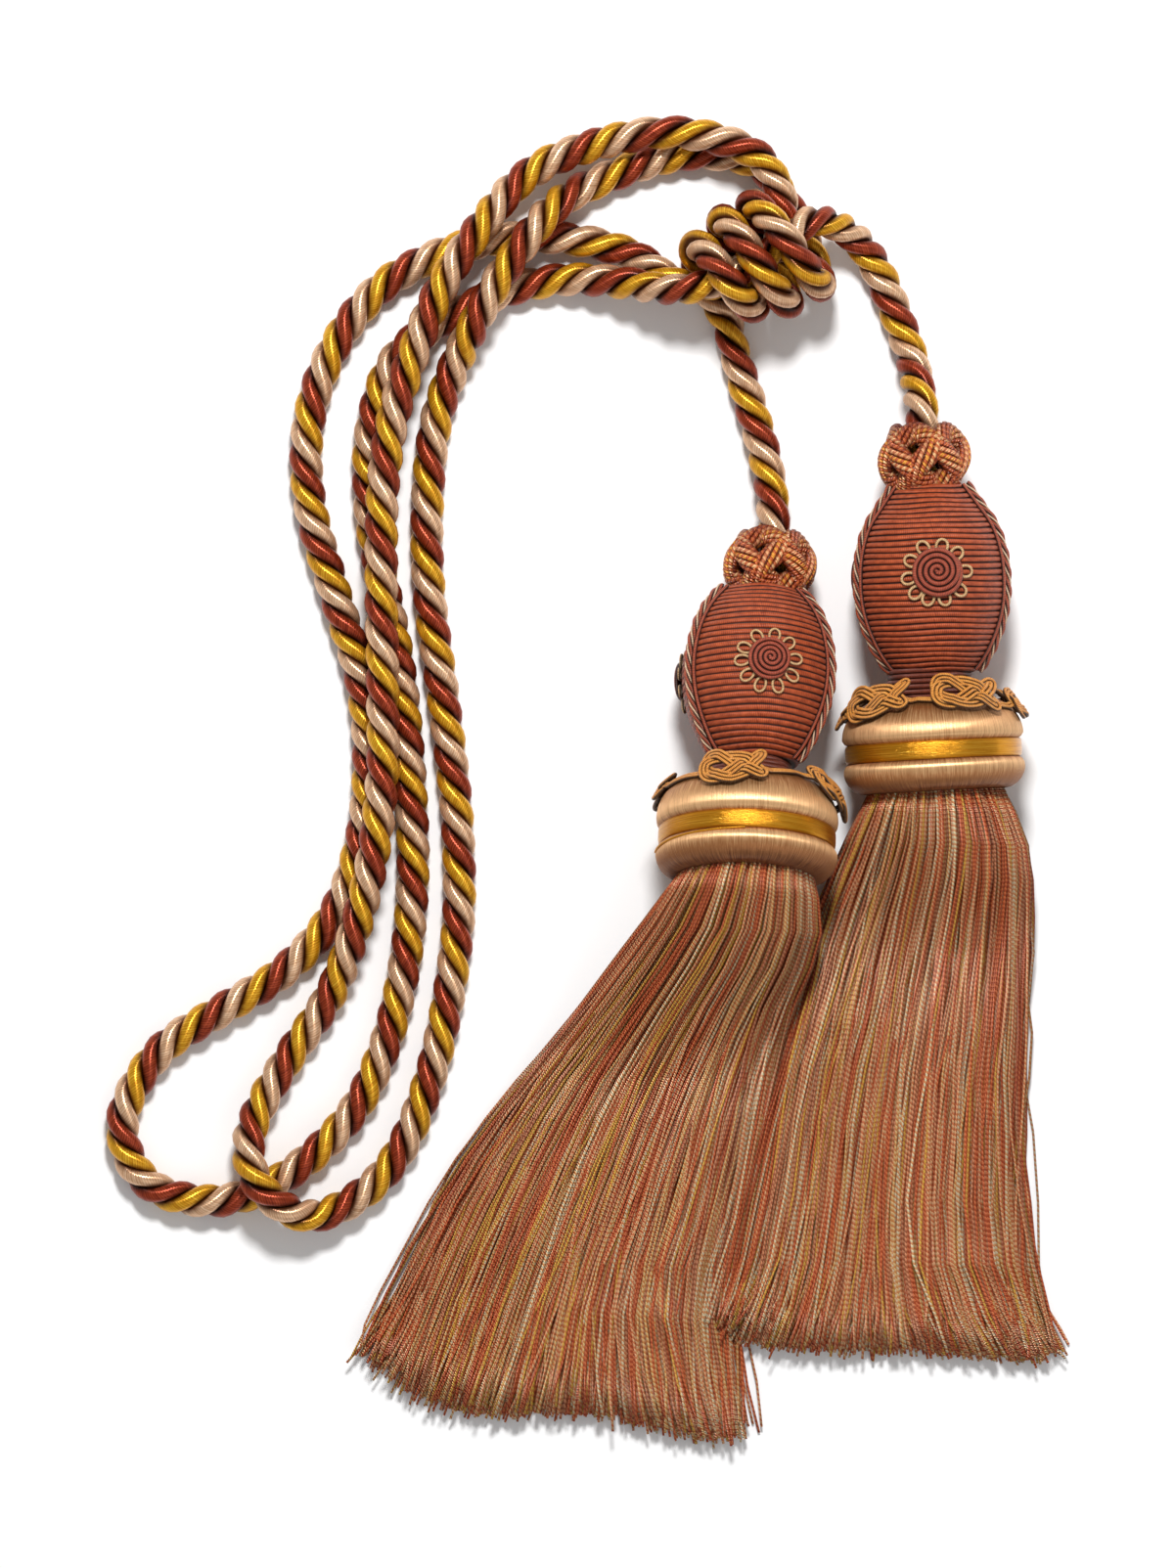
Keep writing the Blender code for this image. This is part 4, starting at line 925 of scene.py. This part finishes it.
def on_shoulder(name, azimuth, across, lift, stand=0.0):
    """A point by the galloon's line: azimuth, millimetres across it and over the satin."""
    angle = galloon_angle(name, azimuth)
    radius, height = shoulder(name, angle, lift)
    below, above = shoulder(name, angle - 1.0, 0.0), shoulder(name, angle + 1.0, 0.0)
    upward = np.arctan2(above[1] - below[1], above[0] - below[0]) - np.radians(stand)
    bulge = across ** 2 / SHOULDER_BEND * (1 - stand / STRAIGHT_STAND)
    normal = upward - pi / 2
    radius = radius + across * np.cos(upward) - bulge * np.cos(normal)
    height = height + across * np.sin(upward) - bulge * np.sin(normal)
    return around(azimuth, radius, height)


def interlaced(x, y):
    """Heights, +1 over and -1 under in turn, for a closed flat curve that crosses itself."""
    count = len(x)
    start = np.stack((x, y), 1)
    step = np.roll(start, -1, 0) - start
    visits = []
    for first in range(count):
        for second in range(first + 2, count):
            if first == 0 and second == count - 1:
                continue
            cross = step[first, 0] * step[second, 1] - step[first, 1] * step[second, 0]
            if abs(cross) < 1e-9:
                continue
            apart = start[second] - start[first]
            t = (apart[0] * step[second, 1] - apart[1] * step[second, 0]) / cross
            u = (apart[0] * step[first, 1] - apart[1] * step[first, 0]) / cross
            if 0 <= t < 1 and 0 <= u < 1:
                visits += [first + t, second + u]
    visits.sort()
    signs = [1.0 if place % 2 == 0 else -1.0 for place in range(len(visits))]
    places = np.array([visits[-1] - count] + visits + [visits[0] + count])
    values = np.array([signs[-1]] + signs + [signs[0]])
    return np.interp(np.arange(count), places, values)


def knot_curve():
    """A galloon knot's flat curve, its direction and its heights over and under itself."""
    turn = np.linspace(0, tau, KNOT_STEPS, endpoint=False)
    x = KNOT_HALF_LENGTH * np.cos(2 * turn)
    y = KNOT_HALF_WIDTH * np.cos(3 * turn + 0.45)
    ahead = unit(np.stack((np.roll(x, -1) - np.roll(x, 1), np.roll(y, -1) - np.roll(y, 1)), 1))
    return x, y, ahead, interlaced(x, y) * KNOT_WEAVE


def make_galloon(name, ochre):
    """A doubled gimp round the bun's shoulder, tied into flat knots."""
    x, y, ahead, weave = knot_curve()
    knots = TASSELS[name]["knots"]
    cloth = Cloth()
    for middle, following, stand in zip(knots, (*knots[1:], knots[0] + 360), KNOT_STANDS[name]):
        reach = shoulder(name, galloon_angle(name, middle), 0.0)[0]
        raised = KNOT_LIFT + (KNOT_HALF_WIDTH + GALLOON_CORD) * sin(radians(stand))
        for cord in KNOT_CORDS:
            side = cord * GALLOON_CORD
            azimuth = middle + np.degrees((x - ahead[:, 1] * side) / reach)
            across = y + ahead[:, 0] * side
            lay(cloth, name, "bun", lambda rise: on_shoulder(name, azimuth, across, rise, stand),
                raised + weave, GALLOON_CORD, GALLOON_SIDES, closed=True)
        edge = np.degrees(KNOT_HALF_LENGTH / reach)
        azimuth = np.linspace(middle + edge, following - edge, RUN_STEPS)
        lift = np.interp(np.linspace(0, 1, RUN_STEPS), RUN_LANDINGS,
                         (KNOT_LIFT, RUN_LIFT, RUN_LIFT, KNOT_LIFT))
        for side in (-GALLOON_CORD, GALLOON_CORD):
            lay(cloth, name, "bun", lambda rise: on_shoulder(name, azimuth, side, rise),
                lift, GALLOON_CORD, GALLOON_SIDES)
    cloth.make("galloon_knotted_" + name, (ochre,), "galloon", "galloon_" + name)


# ---- ruff

RUFF_RADIUS = 10.7
RUFF_WEAVE = 2.2
RUFF_LEADS = 3
RUFF_BIGHTS = 5
RUFF_HEIGHT = 8.2
RUFF_STEPS = 520
RUFF_PLIES = 9
RUFF_HALF_WIDTH = 3.1
RUFF_HALF_DEPTH = 2.0
RUFF_YARN = 0.88
RUFF_YARN_SIDES = 5
# The core of the plaited cord, darkened as painted shade between its yarns; tall is its
# height over its width.
RUFF_CORE = {"radius": RUFF_HALF_DEPTH, "tall": 1.7, "sides": 8, "tone_and_shade": 0.3}
RUFF_TWISTS = 10
RUFF_SEATS = {"left": 8.9, "right": 8.2}


def make_ruff(name, yarns):
    """A Turk's head collar plaited from one thick cord of many mixed yarns."""
    middle = TASSELS[name]["ends"][1] + RUFF_SEATS[name]
    turn = np.linspace(0, 1, RUFF_STEPS, endpoint=False)
    azimuth = 360 * RUFF_LEADS * turn
    height = middle + RUFF_HEIGHT * np.sin(tau * RUFF_BIGHTS * turn)
    over = np.cos(tau * RUFF_BIGHTS * (RUFF_LEADS - 1) * turn)
    radius = RUFF_RADIUS + RUFF_WEAVE * over
    line = placed(name, "ruff", around(azimuth, radius, height))
    outward = unit(placed(name, "ruff", around(azimuth, radius + 1.0, height)) - line)
    tangent = unit(np.roll(line, -1, 0) - np.roll(line, 1, 0))
    outward = unit(outward - tangent * np.sum(outward * tangent, 1, keepdims=True))
    across = np.cross(tangent, outward)
    cloth = Cloth()
    cloth.tube(line, across, closed=True, **RUFF_CORE)
    for yarn in range(RUFF_PLIES):
        angle = (tau * yarn / RUFF_PLIES + tau * RUFF_TWISTS * turn)[:, None]
        shift = (across * np.cos(angle) * RUFF_HALF_WIDTH
                 + outward * np.sin(angle) * RUFF_HALF_DEPTH)
        # Painted shade: yarns turned in towards the core, and the cord where it dips under, are
        # darker.
        facing = 0.15 + 0.85 * np.clip(np.sin(angle), 0.0, 1.0) ** 0.6
        tone_and_shade = facing * (0.78 + 0.22 * over[:, None])
        cloth.tube(line + shift, shift, RUFF_YARN, RUFF_YARN_SIDES, slot=yarn % len(yarns),
                   tone_and_shade=tone_and_shade, closed=True)
    cloth.make("ruff_plaited_" + name, yarns, "ruff", "ruff_" + name)


# ---- skirts

HEADING_DROP = -13.0
ROOT_RADIUS = 21.9
YARN_LAYERS = 16
YARNS_A_LAYER = 128
YARN_RADIUS = 0.44
YARN_POINTS = 14
YARN_SIDES = 3
LOCKS_A_LAYER = 17
LOCK_PULL = 0.42
# How far each layer's locks are moved on, as a share of a lock's width.
LOCK_STAGGER = 0.37
# The skirt's left and right edge on the table at stations down its length, the heap's height
# there, and how much of the root's round form is left.
SKIRTS = {
    "left": (
        ((16.5, -47.5), (75.5, -50), 27, 0.62),
        ((-6, -78), (66, -76), 16, 0.2),
        ((-25.6, -103), (59, -102), 12, 0.03),
        ((-44, -132), (52, -138), 10, 0.0),
        ((-60, -164), (45, -174), 9, 0.0),
    ),
    "right": (
        ((84.8, -18.7), (144, -22), 27, 0.62),
        ((75.2, -44.3), (144.6, -47.5), 17, 0.2),
        ((68, -70), (143, -75), 13, 0.03),
        ((59, -103), (141, -108), 11, 0.0),
        ((49, -152), (143, -155), 10, 0.0),
    ),
}
# Where it is still as round as the heading, it is lower and wider than that by so much.
ROUND_DROP = 2.0
ROUND_GROWTH = 3.0
# The heap's section: the power of its dome, and how high its edges are as a share of its middle.
DOME_POWER = 2.6
DOME_EDGE = 0.25
HEMS = {
    "left": ((-72, -187), (-51, -203), (-32, -208), (0, -207), (32, -214), (48, -216)),
    "right": ((43.5, -176), (56, -185), (80, -187), (112, -187), (138, -189), (151, -188.5)),
}
HEM_HEAP = 8.5
# How far the yarns' ends come and go: together in waves, evenly to both sides, and short ones.
HEM_RAGGED = {"wave": 1.6, "mean": -1.5, "spread": 1.5, "short": 2.2}
# How far the yarns swing sideways near the hem: wide and narrow bundles, then each yarn by
# itself in one slow bend and in (waves, size) of its own.
SWAYS = {"wide": 2.2, "narrow": 1.2, "yarn": 3.2, "up": 0.5}
YARN_SWINGS = ((1.3, 2.2), (3.1, 0.9))
YARN_SHARES = (0.29, 0.27, 0.09, 0.11, 0.13, 0.11)
# The share of the yarns that are like their neighbours, in so many bands.
ALIKE_SHARE = 0.15
ALIKE_BANDS = 60
# Painted shade of the yarns inside the heap and of all ends, and the share of the heap that
# counts as its outside.
INNER_SHADE = 0.4
HEM_SHADE = 0.85
OUTSIDE = 0.22
# A single yarn that lies away from the skirt's side.
STRAYS = {
    "left": ((-18, -92, 3.0), (-24, -100, 1.2), (-31, -109, 0.6), (-38, -119, 0.6),
             (-42, -128, 1.5)),
    "right": ((142, -122, 4.0), (144.6, -136, 2.0), (145.8, -150, 0.8), (147.4, -162, 0.6),
              (151.0, -172, 0.6), (155.4, -179, 0.6), (158.0, -184, 0.6)),
}
STRAY_STEP = 2.0


def curve_weights(count, samples):
    """Weights of a smooth curve through count points, at evenly spread samples."""
    weights = np.zeros((samples, count))
    for row, place in enumerate(np.linspace(0, count - 1, samples)):
        index = min(int(place), count - 2)
        t = place - index
        parts = (
            (index - 1, -0.5 * t + t * t - 0.5 * t ** 3),
            (index, 1 - 2.5 * t * t + 1.5 * t ** 3),
            (index + 1, 0.5 * t + 2 * t * t - 1.5 * t ** 3),
            (index + 2, -0.5 * t * t + 0.5 * t ** 3),
        )
        for place_of, weight in parts:
            weights[row, min(max(place_of, 0), count - 1)] += weight
    return weights


def drift(place, waves):
    """A smooth random swing along a skirt's width, for locks that move together."""
    total = 0.0
    for wave in waves:
        total = total + np.sin(tau * wave * place + rng.uniform(0, tau)) / len(waves)
    return total


def skirt_controls(name, share, level, layer):
    """Every yarn's points in the heading, at the skirt's stations and at the hem."""
    count = len(share)
    reach = np.sqrt(np.clip(1 - share ** 2, 0.03, 1))
    rise = reach * (2 * level - 1)
    root = np.stack((ROOT_RADIUS * share, -ROOT_RADIUS * rise, np.full(count, HEADING_DROP)), 1)
    controls = [placed(name, "bun", root)]
    locks = LOCKS_A_LAYER * (share + 1) / 2 + layer * LOCK_STAGGER
    pull = LOCK_PULL * (np.floor(locks) + 0.5 - locks) / LOCKS_A_LAYER
    gathered = np.clip(share + 2 * pull * rng.uniform(0.2, 1.8, count), -1, 1)
    dome = (1 - np.abs(share) ** DOME_POWER) ** 0.5
    middle = TASSELS[name]["centre"][2] - ROUND_DROP
    rounded = np.maximum(middle + (ROOT_RADIUS + ROUND_GROWTH) * rise, 0)
    for left, right, heap, roundness in SKIRTS[name]:
        flat = np.array(left) + np.subtract(right, left) * ((gathered + 1) / 2)[:, None]
        low = level * heap * (DOME_EDGE + (1 - DOME_EDGE) * dome)
        controls.append(np.column_stack((flat, low + (rounded - low) * roundness)))
    hem_x, hem_y = np.array(HEMS[name], float).T
    corners = np.arange(len(hem_x))
    hem_place = (share + 1) / 2 * corners[-1]
    tips = np.column_stack((
        np.interp(hem_place, corners, hem_x), np.interp(hem_place, corners, hem_y),
        level * HEM_HEAP))
    ahead = unit(tips - controls[-1])
    further = HEM_RAGGED["wave"] * drift(share, (4.3, 9.1, 17.0))
    further += rng.normal(HEM_RAGGED["mean"], HEM_RAGGED["spread"], count)
    further -= np.abs(rng.normal(0, HEM_RAGGED["short"], count))
    controls.append(tips + ahead * further[:, None])
    return np.stack(controls)


def swing(lines, place, share, level):
    """Swings the yarns out of their smooth curves, more and more towards the hem."""
    count = len(share)
    sway = SWAYS["wide"] * drift(share + 0.3 * level, (1.7, 3.1))
    sway += SWAYS["narrow"] * drift(share + level, (6.0, 11.0))
    lines[..., 0] += sway * place ** 1.5 * np.sin(tau * 0.8 * place + 2.0 * share)
    lines[..., 0] += rng.normal(0, SWAYS["yarn"], count) * place ** 1.3
    for waves, size in YARN_SWINGS:
        phase = rng.uniform(0, tau, count)
        aside = rng.normal(0, size, count) * place * np.sin(tau * waves * place + phase)
        lines[..., 0] += aside
        lines[..., 1] += aside * 0.15
    lines[..., 2] += rng.normal(0, SWAYS["up"], count) * place * np.sin(5 * place)
    lines[..., 2] = np.maximum(lines[..., 2], YARN_RADIUS)


def chosen_yarns(total, share, layer):
    """Which of the yarns each one is: most by chance, some like their neighbours."""
    kinds = rng.choice(total, len(share), p=YARN_SHARES)
    alike = rng.random(len(share)) < ALIKE_SHARE
    band = np.floor((share + 1) * 21 + 0.9 * drift(share, (2.0, 5.0)) + layer).astype(int)
    return np.where(alike, rng.choice(total, ALIKE_BANDS, p=YARN_SHARES)[band % ALIKE_BANDS], kinds)


def make_skirt(name, yarns):
    """A heap of two-ply yarns from the heading under the bun to a ragged hem."""
    count = YARN_LAYERS * YARNS_A_LAYER
    layer, number = np.divmod(np.arange(count), YARNS_A_LAYER)
    share = (number + rng.uniform(0, 1, count)) / YARNS_A_LAYER * 2 - 1
    level = (layer + rng.uniform(0, 1, count)) / YARN_LAYERS
    controls = skirt_controls(name, share, level, layer)
    lines = np.einsum("sc,cnx->snx", curve_weights(len(controls), YARN_POINTS), controls)
    place = np.linspace(0, 1, YARN_POINTS)[:, None]
    swing(lines, place, share, level)
    kinds = chosen_yarns(len(yarns), share, layer)
    # Painted shade: yarns deep in the heap are darker, outer ones lighter by a random tone of their
    # own, and all go to the hem's shade at their ends.
    outer = 1 - np.clip(np.minimum(level, 1 - level) / OUTSIDE, 0, 1)
    tones_and_shades = INNER_SHADE + (1 - INNER_SHADE) * outer * rng.uniform(0.4, 1, count)
    sizes = YARN_RADIUS * rng.uniform(0.85, 1.15, count)
    cloth = Cloth()
    for line, tone_and_shade, size, kind in zip(lines.swapaxes(0, 1), tones_and_shades, sizes, kinds):
        shades = tone_and_shade + (HEM_SHADE - tone_and_shade) * place ** 7
        cloth.tube(line, UP, size, YARN_SIDES, slot=int(kind), tone_and_shade=shades)
    stray = respaced(np.array(STRAYS[name]), STRAY_STEP)
    cloth.tube(stray, UP, YARN_RADIUS, YARN_SIDES + 1, slot=1, tone_and_shade=1.0)
    cloth.make("skirt_yarns_" + name, yarns, "skirt", "skirt_" + name)


LOOSE_THREAD = {"azimuths": (-86.0, -2.0), "heights": (-5.9, -3.3), "steps": 48, "radius": 0.42}
# The satin's radius, by height, where the thread lies on it, and how high it lies.
SATIN_BELOW_BAND = {"heights": (-6.5, -5.0, -3.8, -2.9), "radii": (29.6, 29.5, 28.9, 28.6)}
THREAD_LIFT = 0.15


def make_loose_thread(gold):
    """A thin gold thread that has slipped below the left bun's band."""
    share = np.linspace(0, 1, LOOSE_THREAD["steps"])
    azimuth = np.interp(share, (0, 1), LOOSE_THREAD["azimuths"])
    height = np.interp(share ** 0.8, (0, 1), LOOSE_THREAD["heights"])
    radius = np.interp(height, SATIN_BELOW_BAND["heights"], SATIN_BELOW_BAND["radii"])
    cloth = Cloth()
    lay(cloth, "left", "bun", lambda rise: around(azimuth, radius + rise, height), THREAD_LIFT,
        LOOSE_THREAD["radius"], 5)
    cloth.make("loose_gold_thread", (gold,), "gold_band", "loose_thread_left")


# ---- the tassels dressed

# The rows' first colour is the painted shade where they meet.
RIB_GIMP = wound_rows("rib_gimp", (34, 6, 2), (116, 38, 12), (200, 94, 50))
SEAM_RUST = gimp("seam_rust", (96, 30, 12), (156, 64, 34), (200, 100, 66))
SEAM_CREAM = gimp("seam_cream", (170, 118, 82), (226, 188, 150), (246, 222, 194))
BUTTON_GIMP = gimp("button_gimp", (90, 26, 10), (146, 56, 32), (202, 98, 66), edge=0.08)
LOOP_GIMP = gimp("loop_gimp", (140, 88, 48), (206, 162, 108), (240, 208, 160))
OCHRE_GIMP = gimp("ochre_gimp", (150, 76, 12), (208, 126, 36), (252, 190, 92), edge=0.12)
NECK_FLOSS = gimp("neck_floss", (60, 18, 8), (108, 42, 24), (150, 76, 50), slant=4.0)
SATIN = laid_floss(
    "satin_floss", (88, 42, 14), (168, 110, 64), (236, 188, 134), grain=(2.6, 0.1),
    rotation=ALONG_V)
GOLD = laid_floss(
    "gold_floss", (118, 58, 4), (204, 136, 16), (252, 210, 86), grain=(0.04, 4.0), rotation=ALONG_U,
    roughness=0.3, metallic=0.8)
YARNS = (
    plied_yarn("yarn_rust", (206, 76, 26), (246, 138, 80)),
    plied_yarn("yarn_peach", (255, 200, 144), (236, 126, 70)),
    plied_yarn("yarn_gold", (255, 206, 84), (238, 150, 62)),
    plied_yarn("yarn_mauve", (192, 98, 58), (244, 168, 118)),
    plied_yarn("yarn_tan", (240, 148, 70), (255, 216, 148)),
    plied_yarn("yarn_cream", (255, 240, 198), (250, 168, 100)),
)
RUFF_YARNS = tuple(
    plied_yarn(f"ruff_yarn_{number}", first, second, per_mm=0.5)
    for number, (first, second) in enumerate((
        ((222, 116, 60), (168, 68, 28)),
        ((255, 200, 140), (212, 110, 58)),
        ((246, 166, 64), (200, 94, 44)),
        ((200, 112, 68), (246, 176, 122)),
    ))
)

for tassel_name in TASSELS:
    make_ball(tassel_name, RIB_GIMP)
    make_seams(tassel_name, SEAM_RUST, SEAM_CREAM)
    make_buttons(tassel_name, BUTTON_GIMP, LOOP_GIMP)
    make_bun(tassel_name, SATIN, GOLD)
    make_neck(tassel_name, NECK_FLOSS)
    make_galloon(tassel_name, OCHRE_GIMP)
    make_ruff(tassel_name, RUFF_YARNS)
    make_skirt(tassel_name, YARNS)
make_loose_thread(GOLD)


# ---- table and light


TABLE_CORNERS = [(-3.0, -3.0, 0.0), (3.0, -3.0, 0.0), (3.0, 3.0, 0.0), (-3.0, 3.0, 0.0)]
# The table's top lies this far below the part, so that the two don't flicker where they touch.
TABLE_DROP = 0.0002
TABLE_COLOUR = (250, 250, 250)
LIGHTS = {
    "key": {"place": (0.0, 0.9, 1.45), "size": 0.3, "power": 27.0},
    "fill": {"place": (0.5, -0.9, 1.2), "size": 1.2, "power": 3.0},
}
SKY_STRENGTH = 0.36


def make_table():
    mesh = bpy.data.meshes.new("table")
    mesh.from_pydata(TABLE_CORNERS, [], [(0, 1, 2, 3)])
    mesh.materials.append(Nodes("table", roughness=0.9, specular=0.1).finish(TABLE_COLOUR))
    table = bpy.data.objects.new("table", mesh)
    table.location.z = -TABLE_DROP
    bpy.context.scene.collection.objects.link(table)


def make_light(name, place, size, power):
    data = bpy.data.lights.new(name, "AREA")
    data.shape = "DISK"
    data.size = size
    data.energy = power
    light = bpy.data.objects.new(name, data)
    light.location = place
    light.rotation_euler = (-Vector(place)).to_track_quat("-Z", "Y").to_euler()
    bpy.context.scene.collection.objects.link(light)


def make_sky(strength):
    world = bpy.data.worlds.new("studio")
    world.use_nodes = True
    background = world.node_tree.nodes["Background"]
    background.inputs["Color"].default_value = (1.0, 1.0, 1.0, 1.0)
    background.inputs["Strength"].default_value = strength
    bpy.context.scene.world = world


make_table()
for light_name, light in LIGHTS.items():
    make_light(light_name, **light)
make_sky(SKY_STRENGTH)
bpy.context.scene.view_settings.view_transform = "Standard"
